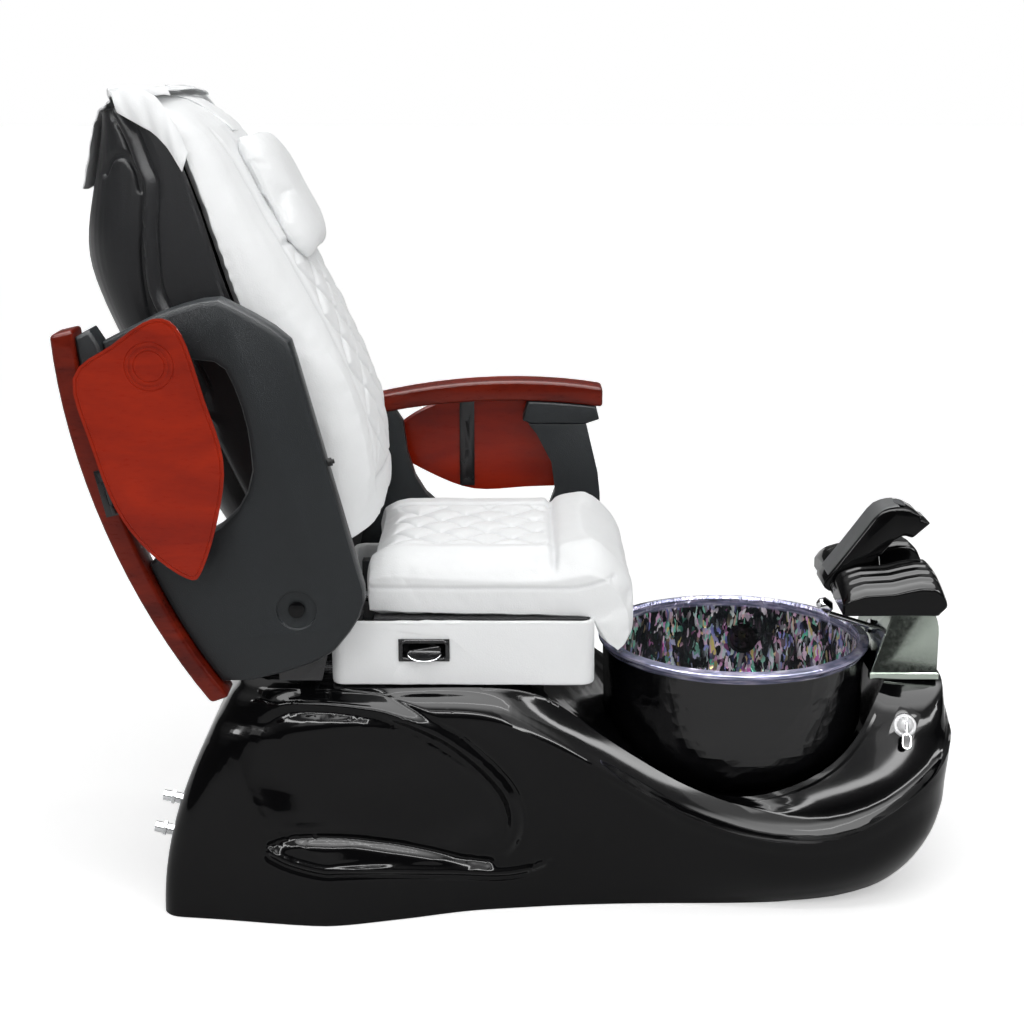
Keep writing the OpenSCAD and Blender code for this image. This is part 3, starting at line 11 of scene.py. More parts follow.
import bmesh
import bpy
import numpy as np
from mathutils import Matrix, Vector, kdtree, noise

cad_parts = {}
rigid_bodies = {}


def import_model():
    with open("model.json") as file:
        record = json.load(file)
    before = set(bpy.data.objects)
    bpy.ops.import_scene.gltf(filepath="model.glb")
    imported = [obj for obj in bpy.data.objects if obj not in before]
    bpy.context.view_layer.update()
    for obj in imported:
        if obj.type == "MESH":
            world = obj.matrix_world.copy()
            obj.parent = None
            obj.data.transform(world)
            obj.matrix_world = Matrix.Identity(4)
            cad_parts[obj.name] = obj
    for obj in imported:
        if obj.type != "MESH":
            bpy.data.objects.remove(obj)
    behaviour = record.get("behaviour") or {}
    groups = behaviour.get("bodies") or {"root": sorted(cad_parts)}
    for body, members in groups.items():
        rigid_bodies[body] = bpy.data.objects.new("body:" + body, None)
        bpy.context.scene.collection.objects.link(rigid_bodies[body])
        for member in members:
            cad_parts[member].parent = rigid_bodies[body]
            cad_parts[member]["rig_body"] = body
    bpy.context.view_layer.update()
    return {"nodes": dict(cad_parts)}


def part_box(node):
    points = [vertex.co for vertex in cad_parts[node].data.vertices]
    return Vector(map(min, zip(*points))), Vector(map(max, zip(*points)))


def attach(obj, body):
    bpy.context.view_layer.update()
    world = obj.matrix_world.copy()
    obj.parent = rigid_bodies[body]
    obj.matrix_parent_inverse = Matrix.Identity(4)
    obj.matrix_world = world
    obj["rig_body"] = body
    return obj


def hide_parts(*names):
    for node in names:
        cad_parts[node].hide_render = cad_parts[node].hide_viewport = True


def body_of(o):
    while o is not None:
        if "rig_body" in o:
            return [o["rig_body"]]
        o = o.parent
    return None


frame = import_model()
nodes = frame["nodes"]

# %% [markdown]
# ## Camera
# The chair stands side on, seen from a little above seat height and far enough away that the near
# and far armrests look almost the same size. A long lens from 3.3 m gives that. The other way, a wide
# lens close by, would swell the near arm.

# %% Camera
bpy.ops.object.camera_add(location=(0, -3.30, 1.49), rotation=(math.radians(76.0894), 0, 0))
camera = bpy.context.object
camera.name = "camera"
camera.data.sensor_width = 36
camera.data.lens = 36 * 1825 / 1024
camera.data.clip_end = 60
bpy.context.scene.camera = camera
print("lens", round(camera.data.lens, 1), "mm")

# %% [markdown]
# ## Helpers for modelling by hand
# Operators act on whatever is selected, so each helper first selects one object and nothing else.
# A solid from the frame is loose triangles. Its copy is merged into a clean mesh before it is bevelled.

# %% Helpers for selecting and applying
def pick(obj):
    """Selects one object alone and makes it the active one."""
    if bpy.context.object and bpy.context.object.mode != "OBJECT":
        bpy.ops.object.mode_set(mode="OBJECT")
    bpy.ops.object.select_all(action="DESELECT")
    obj.select_set(True)
    bpy.context.view_layer.objects.active = obj
    return obj


def apply(obj, kind, **values):
    """Adds a modifier with these values and applies it."""
    pick(obj)
    modifier = obj.modifiers.new(kind.lower(), kind)
    for key, value in values.items():
        setattr(modifier, key, value)
    bpy.ops.object.modifier_apply(modifier=modifier.name)
    return obj


def place(obj):
    """Moves the object's place, turn and size into its mesh."""
    pick(obj)
    bpy.ops.object.transform_apply(location=True, rotation=True, scale=True)
    return obj


def smooth(obj, angle=35):
    """Smooth shading that stays crisp at edges sharper than the angle."""
    pick(obj)
    bpy.ops.object.shade_smooth_by_angle(angle=math.radians(angle))
    return obj


def copy_solid(node, name, flat=True):
    """A merged copy of a solid, with its flat faces joined back together."""
    source = nodes[node]
    obj = bpy.data.objects.new(name, source.data.copy())
    bpy.context.collection.objects.link(obj)
    obj.data.materials.clear()
    pick(obj)
    bpy.ops.object.mode_set(mode="EDIT")
    bpy.ops.mesh.select_all(action="SELECT")
    bpy.ops.mesh.remove_doubles(threshold=0.00003)
    if flat:
        bpy.ops.mesh.dissolve_limited(angle_limit=math.radians(1.0))
    bpy.ops.mesh.customdata_custom_splitnormals_clear()
    bpy.ops.object.mode_set(mode="OBJECT")
    return obj


def dress(obj, material, *solids, body=None):
    """Gives a piece its material and body, and lets it stand for its solids."""
    obj.data.materials.clear()
    obj.data.materials.append(material)
    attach(obj, body or body_of(nodes[solids[0]])[0])
    if solids:
        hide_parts(*solids)
    return obj


def box(node):
    low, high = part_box(node)
    return np.array(low), np.array(high)


def soft_edges(node, name, width, material, segments=3, angle=30, keep=38):
    """A copy of a solid with its edges rounded over, as moulded and pressed parts have them."""
    obj = copy_solid(node, name)
    apply(obj, "BEVEL", width=width, segments=segments, limit_method="ANGLE",
          angle_limit=math.radians(angle), harden_normals=False, use_clamp_overlap=True)
    smooth(obj, keep)
    return dress(obj, material, node)


# %% [markdown]
# ## Building blocks for the finishes
# Real finishes share a few effects: a fine grain, a slow drift of tone, a brushed direction, a dimple
# pattern. Each is built once as a node group with its own inputs, then placed in every material that
# needs it with other numbers. The groups put out only heights, masks and colours.

# %% Node helpers
def group_of(name, inputs, outputs):
    """An empty node group with named sockets, and a function that adds and links nodes in it."""
    tree = bpy.data.node_groups.new(name, "ShaderNodeTree")
    for label, kind, value in inputs:
        socket = tree.interface.new_socket(label, in_out="INPUT", socket_type=kind)
        socket.default_value = value
    for label, kind in outputs:
        tree.interface.new_socket(label, in_out="OUTPUT", socket_type=kind)
    return tree, tree.nodes.new("NodeGroupInput").outputs, tree.nodes.new("NodeGroupOutput").inputs


def add(tree, kind, links=None, **values):
    """A node with its properties set, and its inputs linked or given a value."""
    node = tree.nodes.new("ShaderNode" + kind)
    for key, value in values.items():
        setattr(node, key, value)
    for key, value in (links or {}).items():
        if isinstance(value, bpy.types.NodeSocket):
            tree.links.new(value, node.inputs[key])
        else:
            node.inputs[key].default_value = value
    return node


def math_node(tree, operation, a, b=0.0, c=0.0, clamp=False):
    return add(tree, "Math", {0: a, 1: b, 2: c}, operation=operation, use_clamp=clamp).outputs[0]


def object_place(tree, scale=(1, 1, 1), turn=(0, 0, 0), shift=(0, 0, 0)):
    """Object coordinates through a Mapping node, so that a pattern keeps its place on the piece."""
    place_node = add(tree, "TexCoord").outputs["Object"]
    return add(tree, "Mapping", {"Vector": place_node, "Scale": scale, "Rotation": turn, "Location": shift}).outputs[0]


def ramp(tree, value, *stops):
    node = add(tree, "ValToRGB", {0: value})
    band = node.color_ramp
    while len(band.elements) > 1:
        band.elements.remove(band.elements[-1])
    for i, (at, colour) in enumerate(stops):
        element = band.elements[0] if i == 0 else band.elements.new(at)
        element.position = at
        element.color = (*colour, 1)
    return node.outputs[0]


# %% Shared effects as node groups
def make_grain():
    """Pebbled grain, as leather and moulded plastic have it. Size is in metres."""
    tree, into, out = group_of("pebbled_grain", [("Size", "NodeSocketFloat", 0.002)], [("Height", "NodeSocketFloat")])
    scale = math_node(tree, "DIVIDE", 1.0, into["Size"])
    where = object_place(tree)
    pebbles = add(tree, "TexVoronoi", {"Vector": where, "Scale": scale, "Randomness": 0.9}, feature="SMOOTH_F1")
    fine = add(tree, "TexNoise", {"Vector": where, "Scale": math_node(tree, "MULTIPLY", scale, 2.6), "Detail": 3.0})
    total = math_node(tree, "MULTIPLY_ADD", fine.outputs[0], 0.35, pebbles.outputs["Distance"])
    tree.links.new(total, out["Height"])
    return tree


def make_drift():
    """Slow change of tone over a piece, for colour and for roughness."""
    tree, into, out = group_of(
        "tone_drift",
        [("Color", "NodeSocketColor", (1, 1, 1, 1)), ("Amount", "NodeSocketFloat", 0.1),
         ("Size", "NodeSocketFloat", 0.15)],
        [("Color", "NodeSocketColor"), ("Mask", "NodeSocketFloat")])
    scale = math_node(tree, "DIVIDE", 1.0, into["Size"])
    cloud = add(tree, "TexNoise", {"Vector": object_place(tree), "Scale": scale, "Detail": 4.0, "Roughness": 0.55})
    mask = add(tree, "MapRange", {0: cloud.outputs[0], 1: 0.3, 2: 0.7}).outputs[0]
    darker = math_node(tree, "SUBTRACT", 1.0, math_node(tree, "MULTIPLY", mask, into["Amount"]))
    tone = add(tree, "VectorMath", {0: into["Color"], "Scale": darker}, operation="SCALE")
    tree.links.new(tone.outputs[0], out["Color"])
    tree.links.new(mask, out["Mask"])
    return tree


def make_brushed():
    """Fine lines along one axis, as drawn tube and brushed plate have them."""
    tree, into, out = group_of("brushed_lines", [("Stretch", "NodeSocketVector", (1, 40, 40))],
                               [("Height", "NodeSocketFloat"), ("Mask", "NodeSocketFloat")])
    where = add(tree, "VectorMath", {0: object_place(tree), 1: into["Stretch"]}, operation="MULTIPLY").outputs[0]
    lines = add(tree, "TexNoise", {"Vector": where, "Scale": 18.0, "Detail": 5.0, "Roughness": 0.7})
    tree.links.new(lines.outputs[0], out["Height"])
    tree.links.new(add(tree, "MapRange", {0: lines.outputs[0], 1: 0.35, 2: 0.65}).outputs[0], out["Mask"])
    return tree


def make_dimples():
    """Hammered or crinkled surface: soft cells bent by noise."""
    tree, into, out = group_of("hammered_dimples", [("Size", "NodeSocketFloat", 0.02), ("Bend", "NodeSocketFloat", 0.3)],
                               [("Height", "NodeSocketFloat"), ("Cell", "NodeSocketColor")])
    where = object_place(tree)
    scale = math_node(tree, "DIVIDE", 1.0, into["Size"])
    bent = add(tree, "TexNoise", {"Vector": where, "Scale": scale, "Detail": 2.0})
    push = add(tree, "VectorMath", {0: bent.outputs["Color"], "Scale": math_node(tree, "MULTIPLY", into["Bend"], into["Size"])},
               operation="SCALE")
    moved = add(tree, "VectorMath", {0: where, 1: push.outputs[0]}, operation="ADD").outputs[0]
    cells = add(tree, "TexVoronoi", {"Vector": moved, "Scale": scale}, feature="F1")
    tree.links.new(math_node(tree, "POWER", cells.outputs["Distance"], 1.5), out["Height"])
    tree.links.new(cells.outputs["Color"], out["Cell"])
    return tree


grain, drift, brushed, dimples = make_grain(), make_drift(), make_brushed(), make_dimples()
print("groups:", [g.name for g in (grain, drift, brushed, dimples)])


# %% Material helpers
def use(tree, group, **values):
    node = tree.nodes.new("ShaderNodeGroup")
    node.node_tree = group
    for key, value in values.items():
        if isinstance(value, bpy.types.NodeSocket):
            tree.links.new(value, node.inputs[key])
        else:
            node.inputs[key].default_value = value
    return node.outputs


def finish_of(name, **values):
    """A new material with a Principled BSDF whose constant sockets are set here."""
    material = bpy.data.materials.new(name)
    material.use_nodes = True
    shader = material.node_tree.nodes["Principled BSDF"]
    for key, value in values.items():
        socket = shader.inputs[key.replace("_", " ").title().replace("Ior", "IOR")]
        socket.default_value = (*value, 1) if isinstance(value, tuple) and len(value) == 3 else value
    return material, material.node_tree, shader


def bump(tree, shader, height, depth, strength=1.0, under=None):
    """Turns a height between 0 and 1 into a normal. Depth is in metres."""
    node = add(tree, "Bump", {"Height": height, "Distance": depth, "Strength": strength})
    if under is not None:
        tree.links.new(under, node.inputs["Normal"])
    tree.links.new(node.outputs[0], shader.inputs["Normal"])
    return node.outputs[0]


def blend_roughness(tree, shader, mask, low, high):
    tree.links.new(add(tree, "MapRange", {0: mask, 3: low, 4: high}).outputs[0], shader.inputs["Roughness"])


# %% [markdown]
# ## Finishes
# The chair shows few kinds of surface: gloss black shell, textured grey plastic, white leather,
# red-brown lacquered trays, chrome, painted steel, the crinkled glass of the bowl and some small
# plastics. Each starts from the Principled shader and takes its detail from the groups above.

# %% Gloss black and grey plastics
def gloss_black(name, specular, coat):
    """Gelcoat: deep black, a clear top coat and the slight waviness of a hand-finished mould."""
    material, tree, shader = finish_of(name, coat_weight=coat, coat_roughness=0.03, specular_ior_level=specular)
    tone = use(tree, drift, Color=(0.0030, 0.0030, 0.0034, 1), Amount=0.35, Size=0.3)
    tree.links.new(tone["Color"], shader.inputs["Base Color"])
    blend_roughness(tree, shader, tone["Mask"], 0.06, 0.14)
    wave = add(tree, "TexNoise", {"Vector": object_place(tree), "Scale": 14.0, "Detail": 1.0})
    bump(tree, shader, wave.outputs[0], 0.0012, 0.5)
    return material


def textured_plastic(name, colour, size=0.0016, depth=0.0003, rough=(0.42, 0.56)):
    """Moulded plastic with a fine pebbled grain that scatters the light."""
    material, tree, shader = finish_of(name, specular_ior_level=0.28)
    tone = use(tree, drift, Color=(*colour, 1), Amount=0.16, Size=0.2)
    tree.links.new(tone["Color"], shader.inputs["Base Color"])
    blend_roughness(tree, shader, tone["Mask"], *rough)
    bump(tree, shader, use(tree, grain, Size=size)["Height"], depth)
    return material


def smooth_plastic(name, colour, rough=(0.18, 0.3), coat=0.0):
    """Smooth moulded plastic: even colour, faint flow marks in its gloss."""
    material, tree, shader = finish_of(name, specular_ior_level=0.5, coat_weight=coat, coat_roughness=0.06)
    tone = use(tree, drift, Color=(*colour, 1), Amount=0.1, Size=0.06)
    tree.links.new(tone["Color"], shader.inputs["Base Color"])
    blend_roughness(tree, shader, tone["Mask"], *rough)
    bump(tree, shader, use(tree, grain, Size=0.004)["Height"], 0.00006)
    return material


# %% White leather
def white_leather():
    """Stitched upholstery leather: pebbled grain, soft sheen, and painted shade that greys it along seams and folds."""
    material, tree, shader = finish_of("white_leather", specular_ior_level=0.2, sheen_weight=0.08, sheen_roughness=0.4)
    seam = add(tree, "Attribute", attribute_name="seam", attribute_type="GEOMETRY").outputs["Fac"]
    tone = use(tree, drift, Color=(0.86, 0.87, 0.875, 1), Amount=0.035, Size=0.12)
    # Painted shade: where the seam mask is high the leather is mixed towards grey, darkening seams, channels and folds.
    thread = add(tree, "Mix", {0: seam, 6: tone["Color"], 7: (0.66, 0.67, 0.68, 1)}, data_type="RGBA")
    tree.links.new(thread.outputs[2], shader.inputs["Base Color"])
    blend_roughness(tree, shader, tone["Mask"], 0.42, 0.55)
    creases = add(tree, "TexNoise", {"Vector": object_place(tree), "Scale": 26.0, "Detail": 3.0, "Distortion": 0.6})
    soft = add(tree, "Bump", {"Height": creases.outputs[0], "Distance": 0.0018, "Strength": 0.35}).outputs[0]
    bump(tree, shader, use(tree, grain, Size=0.0024)["Height"], 0.00028, under=soft)
    return material


# %% Lacquered wood
def lacquered_wood(name, light, dark, turn=(0, 0, 0)):
    """Red-brown stained wood under a thick clear lacquer: broad soft grain and a mirror top coat."""
    material, tree, shader = finish_of(name, coat_weight=0.22, coat_roughness=0.04, specular_ior_level=0.1)
    where = object_place(tree, scale=(1, 1, 1), turn=turn)
    along = add(tree, "VectorMath", {0: where, 1: (2.2, 9.0, 9.0)}, operation="MULTIPLY").outputs[0]
    broad = add(tree, "TexNoise", {"Vector": along, "Scale": 1.6, "Detail": 5.0, "Distortion": 1.2})
    pores = add(tree, "TexNoise", {"Vector": along, "Scale": 22.0, "Detail": 6.0, "Roughness": 0.7})
    mixed = math_node(tree, "MULTIPLY_ADD", pores.outputs[0], 0.3, math_node(tree, "MULTIPLY", broad.outputs[0], 0.75))
    tree.links.new(ramp(tree, mixed, (0.36, dark), (0.68, light)), shader.inputs["Base Color"])
    blend_roughness(tree, shader, pores.outputs[0], 0.22, 0.36)
    wave = add(tree, "TexNoise", {"Vector": object_place(tree), "Scale": 20.0, "Detail": 1.0})
    bump(tree, shader, wave.outputs[0], 0.0006, 0.35)
    return material


# %% Metals
def metal(name, colour, rough=(0.05, 0.14), stretch=(1, 30, 30), depth=0.00003):
    """Metal with fine drawn or polished lines in its gloss."""
    material, tree, shader = finish_of(name, metallic=1.0)
    lines = use(tree, brushed, Stretch=stretch)
    tone = use(tree, drift, Color=(*colour, 1), Amount=0.12, Size=0.05)
    tree.links.new(tone["Color"], shader.inputs["Base Color"])
    blend_roughness(tree, shader, lines["Mask"], *rough)
    bump(tree, shader, lines["Height"], depth)
    return material


def painted_steel():
    """Powder-coated frame tube: dark, orange-peel skin, a little dust on it."""
    material, tree, shader = finish_of("painted_steel", specular_ior_level=0.5)
    tone = use(tree, drift, Color=(0.028, 0.028, 0.03, 1), Amount=0.4, Size=0.08)
    tree.links.new(tone["Color"], shader.inputs["Base Color"])
    blend_roughness(tree, shader, tone["Mask"], 0.35, 0.6)
    bump(tree, shader, use(tree, grain, Size=0.003)["Height"], 0.00025)
    return material


# %% Bowl glass
def bowl_glass():
    """Crinkled foil under glass inside the bowl, with painted glints and painted shade on its flakes; dark hammered
    glass outside it.
    """
    material, tree, shader = finish_of("bowl_glass", coat_weight=0.35, coat_roughness=0.03, specular_ior_level=0.25)
    geometry = add(tree, "NewGeometry")
    place_node = add(tree, "TexCoord").outputs["Object"]
    centre = add(tree, "VectorMath", {0: place_node, 1: BOWL_CENTRE}, operation="SUBTRACT").outputs[0]
    facing = add(tree, "VectorMath", {0: centre, 1: geometry.outputs["Normal"]}, operation="DOT_PRODUCT").outputs["Value"]
    inside = math_node(tree, "LESS_THAN", facing, 0.0)
    parts = add(tree, "SeparateXYZ", {0: centre}).outputs
    around = math_node(tree, "ARCTAN2", parts[1], parts[0])
    sheet = add(tree, "CombineXYZ", {0: math_node(tree, "MULTIPLY", around, 0.26),
                                     1: math_node(tree, "MULTIPLY", parts[2], 0.42)})
    bend = add(tree, "TexNoise", {"Vector": sheet.outputs[0], "Scale": 34.0, "Detail": 3.0})
    pushed = add(tree, "VectorMath", {0: bend.outputs["Color"], 1: (0.05, 0.05, 0.05), 2: sheet.outputs[0]},
                 operation="MULTIPLY_ADD").outputs[0]
    flakes = add(tree, "TexVoronoi", {"Vector": pushed, "Scale": 150.0, "Randomness": 1.0}, feature="F1")
    cell = add(tree, "SeparateColor", {0: flakes.outputs["Color"]}).outputs
    angle = add(tree, "LayerWeight", {"Blend": 0.45}).outputs["Facing"]
    hue = math_node(tree, "FRACT", math_node(tree, "MULTIPLY_ADD", angle, 0.6, cell[1]))
    # Iridescent foil colours, with white stops that are painted glints.
    foil_and_glint_tint = ramp(tree, hue, (0.0, (0.80, 0.86, 0.88)), (0.16, (0.10, 0.72, 0.46)), (0.30, (1.0, 1.0, 1.0)),
                (0.44, (0.74, 0.16, 0.56)), (0.58, (1.0, 0.98, 1.0)), (0.72, (0.22, 0.26, 0.78)),
                (0.84, (0.86, 0.74, 0.22)), (0.94, (0.95, 0.50, 0.82)), (1.0, (0.8, 0.8, 0.8)))
    # Painted glints and shade: a noise field picks which flakes catch the light; those take bright foil colours and the
    # rest stay near black.
    cloud = add(tree, "TexNoise", {"Vector": sheet.outputs[0], "Scale": 16.0, "Detail": 2.0}).outputs[0]
    glint_field = math_node(tree, "MULTIPLY_ADD", cloud, 1.3, math_node(tree, "MULTIPLY", cell[0], 0.55))
    painted_glint_mask = add(tree, "MapRange", {0: glint_field, 1: 0.88, 2: 1.20}, interpolation_type="SMOOTHSTEP").outputs[0]
    colours = add(tree, "Mix", {0: painted_glint_mask, 6: (0.010, 0.013, 0.015, 1), 7: foil_and_glint_tint}, data_type="RGBA").outputs[2]
    rim = add(tree, "MapRange", {0: parts[2], 1: -0.019, 2: -0.014}, interpolation_type="SMOOTHSTEP").outputs[0]
    drawn_out = add(tree, "VectorMath", {0: sheet.outputs[0], 1: (6, 160, 1)}, operation="MULTIPLY").outputs[0]
    lines = add(tree, "TexNoise", {"Vector": drawn_out, "Scale": 3.0, "Detail": 3.0}).outputs[0]
    rim_tone = ramp(tree, lines, (0.30, (0.10, 0.11, 0.14)), (0.48, (0.26, 0.27, 0.42)), (0.60, (0.50, 0.46, 0.62)),
                    (0.72, (0.75, 0.80, 0.86)))
    black = use(tree, drift, Color=(0.0042, 0.0042, 0.0048, 1), Amount=0.4, Size=0.05)
    mixed = add(tree, "Mix", {0: inside, 6: black["Color"], 7: colours}, data_type="RGBA").outputs[2]
    mixed = add(tree, "Mix", {0: rim, 6: mixed, 7: rim_tone}, data_type="RGBA").outputs[2]
    tree.links.new(mixed, shader.inputs["Base Color"])
    glitter = math_node(tree, "MAXIMUM", math_node(tree, "MULTIPLY", inside, 0.30), math_node(tree, "MULTIPLY", rim, 0.5))
    tree.links.new(glitter, shader.inputs["Metallic"])
    blend_roughness(tree, shader, inside, 0.16, 0.26)
    dents = use(tree, dimples, Size=0.045, Bend=0.9)
    soft = add(tree, "Bump", {"Height": dents["Height"], "Distance": 0.010, "Strength": 0.35}).outputs[0]
    facets = math_node(tree, "MULTIPLY", flakes.outputs["Distance"], inside)
    bump(tree, shader, facets, 0.004, 0.7, under=soft)
    return material


BOWL_CENTRE = (0.418, 0.0, 0.437)

# %% Small finishes
def black_cloth():
    """Seat board: plywood wrapped in thin black cloth, with the weave just showing."""
    material, tree, shader = finish_of("black_cloth", specular_ior_level=0.2, sheen_weight=0.1)
    threads = [add(tree, "TexWave", {"Vector": object_place(tree, turn=(0, 0, turn)), "Scale": 260.0})
               for turn in (0, math.pi / 2)]
    weave = math_node(tree, "MULTIPLY", threads[0].outputs["Fac"], threads[1].outputs["Fac"])
    tree.links.new(ramp(tree, weave, (0.1, (0.006, 0.006, 0.007)), (0.9, (0.028, 0.028, 0.03))), shader.inputs["Base Color"])
    blend_roughness(tree, shader, weave, 0.9, 0.7)
    bump(tree, shader, weave, 0.0002)
    return material


def braided_hose():
    """Stainless braid over a supply hose: two sets of crossing strands."""
    material, tree, shader = finish_of("braided_hose", metallic=0.9)
    strands = [add(tree, "TexWave", {"Vector": object_place(tree, turn=(0.8 * s, 0.9, 0.8 * s)), "Scale": 160.0, "Distortion": 0.4})
               for s in (-1, 1)]
    weave = math_node(tree, "MAXIMUM", strands[0].outputs["Fac"], strands[1].outputs["Fac"])
    tree.links.new(ramp(tree, weave, (0.2, (0.10, 0.10, 0.11)), (0.8, (0.62, 0.62, 0.64))), shader.inputs["Base Color"])
    blend_roughness(tree, shader, weave, 0.5, 0.25)
    bump(tree, shader, weave, 0.0005)
    return material


def fine_mesh():
    """Black mesh over foam: rows of small round holes."""
    material, tree, shader = finish_of("fine_mesh", specular_ior_level=0.4)
    holes = add(tree, "TexVoronoi", {"Vector": object_place(tree), "Scale": 340.0, "Randomness": 0.0}, feature="F1")
    rim = add(tree, "MapRange", {0: holes.outputs["Distance"], 1: 0.25, 2: 0.42}).outputs[0]
    tree.links.new(ramp(tree, rim, (0.0, (0.001, 0.001, 0.001)), (1.0, (0.024, 0.025, 0.027))), shader.inputs["Base Color"])
    blend_roughness(tree, shader, rim, 0.8, 0.4)
    bump(tree, shader, rim, 0.0006)
    return material


def threaded_chrome():
    """Chromed pipe thread: fine even rings across the stub."""
    material, tree, shader = finish_of("threaded_chrome", metallic=1.0)
    tone = use(tree, drift, Color=(0.74, 0.75, 0.76, 1), Amount=0.12, Size=0.02)
    tree.links.new(tone["Color"], shader.inputs["Base Color"])
    along = object_place(tree, turn=(0, math.radians(-12), 0))
    rings = add(tree, "TexWave", {"Vector": along, "Scale": 170.0, "Distortion": 0.0}, wave_profile="SIN")
    blend_roughness(tree, shader, rings.outputs["Fac"], 0.28, 0.1)
    bump(tree, shader, rings.outputs["Fac"], 0.0008, 0.3)
    return material


FINISH = {
    "gloss_black": gloss_black("gloss_black", 0.10, 0.16),
    "satin_grey": smooth_plastic("satin_grey", (0.115, 0.118, 0.12), rough=(0.3, 0.4)),
    "fine_mesh": fine_mesh(),
    "threaded_chrome": threaded_chrome(),
    "dark_plastic": textured_plastic("dark_plastic", (0.0155, 0.0178, 0.0195), rough=(0.34, 0.46)),
    "back_plastic": textured_plastic("back_plastic", (0.019, 0.0195, 0.021), size=0.0022, depth=0.0002, rough=(0.28, 0.38)),
    "black_plastic": smooth_plastic("black_plastic", (0.010, 0.010, 0.011)),
    "rubber": textured_plastic("rubber", (0.012, 0.012, 0.012), size=0.003, rough=(0.6, 0.8)),
    "white_plastic": smooth_plastic("white_plastic", (0.84, 0.84, 0.85), coat=0.5),
    "roller_plastic": smooth_plastic("roller_plastic", (0.72, 0.60, 0.38), rough=(0.3, 0.45)),
    "white_leather": white_leather(),
    "red_lacquer": lacquered_wood("red_lacquer", (0.34, 0.017, 0.002), (0.21, 0.009, 0.0015)),
    "maroon_lacquer": lacquered_wood("maroon_lacquer", (0.17, 0.012, 0.003), (0.065, 0.004, 0.0015)),
    "chrome": metal("chrome", (0.78, 0.79, 0.80)),
    "bright_steel": metal("bright_steel", (0.56, 0.56, 0.58), rough=(0.18, 0.34), depth=0.00006),
    "brass": metal("brass", (0.62, 0.46, 0.22), rough=(0.2, 0.35)),
    "pedestal_paint": metal("pedestal_paint", (0.40, 0.45, 0.40), rough=(0.08, 0.18), stretch=(6, 1, 6), depth=0.00005),
    "painted_steel": painted_steel(),
    "bowl_glass": bowl_glass(),
    "black_cloth": black_cloth(),
    "hose": braided_hose(),
}
print(len(FINISH), "finishes")

# %% [markdown]
# ## Every solid gets its finish
# The record of the frame names a material slot for each solid. Solids whose shape is already right
# keep it and take the finish of their slot. The ones replaced further down are hidden there.

# %% Finish the solids that stay
def give_finish(node, name):
    obj = nodes[node]
    if obj.material_slots:
        for slot in obj.material_slots:
            slot.material = FINISH[name]
    else:
        obj.data.materials.append(FINISH[name])


SLOT_OF = {
    "chassis_frame": "painted_steel", "control_box": "painted_steel", "seat_carriage": "painted_steel",
    "side_plates": "painted_steel", "back_frame": "painted_steel", "actuator_body": "painted_steel",
    "jet_motor": "painted_steel", "massage_carriage": "painted_steel", "levelling_feet": "rubber",
    "right_arm_bumper": "rubber", "left_arm_bumper": "rubber", "bowl": "bowl_glass", "drain_flange": "chrome",
    "drain_stopper": "chrome", "jet_cover": "gloss_black", "mixer_lever": "chrome", "spout_arm": "chrome",
    "spray_head": "chrome", "prop_stay": "chrome", "water_inlets": "chrome", "mixer_plate": "white_plastic",
    "mixer_dome": "white_plastic", "drain_pipe": "white_plastic", "mixer_valve": "brass",
    "pedestal": "pedestal_paint", "footrest_support": "dark_plastic", "power_inlet": "black_plastic",
    "lever_bezel": "black_plastic", "slide_lever": "black_plastic", "support_pin": "bright_steel",
    "seat_rails": "bright_steel", "actuator_rod": "bright_steel", "massage_rails": "bright_steel",
    "arm_pivot_bolts": "gloss_black", "supply_hoses": "hose", "seat_board": "black_cloth",
    "massage_rollers": "roller_plastic", "seat_cushion": "white_leather", "seat_apron": "white_leather",
    "back_cushion": "white_leather", "top_flap": "white_leather", "pillow": "white_leather",
    "pillow_strap": "white_leather", "back_shell": "back_plastic", "base_shell": "gloss_black",
    "footrest_platform": "gloss_black",
}
for side in ("right", "left"):
    SLOT_OF.update({f"{side}_arm_panel": "dark_plastic", f"{side}_arm_block": "dark_plastic",
                    f"{side}_arm_rail": "maroon_lacquer", f"{side}_tray": "red_lacquer",
                    f"{side}_tray_hinge": "black_plastic", f"{side}_tray_strip": "black_plastic"})
for node, name in SLOT_OF.items():
    give_finish(node, name)
print("no finish:", sorted(set(nodes) - set(SLOT_OF)))

# %% [markdown]
# ## Base shell
# The real shell is moulded in one piece, so its skin has no flat spots. The solid has the form in
# facets. Its copy is joined into larger faces, creased where the mould has an edge, and subdivided
# once, so that the reflections run smoothly over it.

# %% Crease and refine
def crease_sharp(obj, angle):
    """Marks edges sharper than the angle, so that subdivision keeps them."""
    mesh = bmesh.new()
    mesh.from_mesh(obj.data)
    layer = mesh.edges.layers.float.get("crease_edge") or mesh.edges.layers.float.new("crease_edge")
    count = 0
    for edge in mesh.edges:
        if len(edge.link_faces) != 2 or edge.calc_face_angle(0) > math.radians(angle):
            edge[layer] = 1.0
            count += 1
    mesh.to_mesh(obj.data)
    mesh.free()
    return count


def join_triangles(obj, face=25, shape=60):
    """Pairs the loose triangles of a solid's copy into four-sided faces."""
    pick(obj)
    bpy.ops.object.mode_set(mode="EDIT")
    bpy.ops.mesh.select_all(action="SELECT")
    bpy.ops.mesh.tris_convert_to_quads(face_threshold=math.radians(face), shape_threshold=math.radians(shape))
    bpy.ops.object.mode_set(mode="OBJECT")


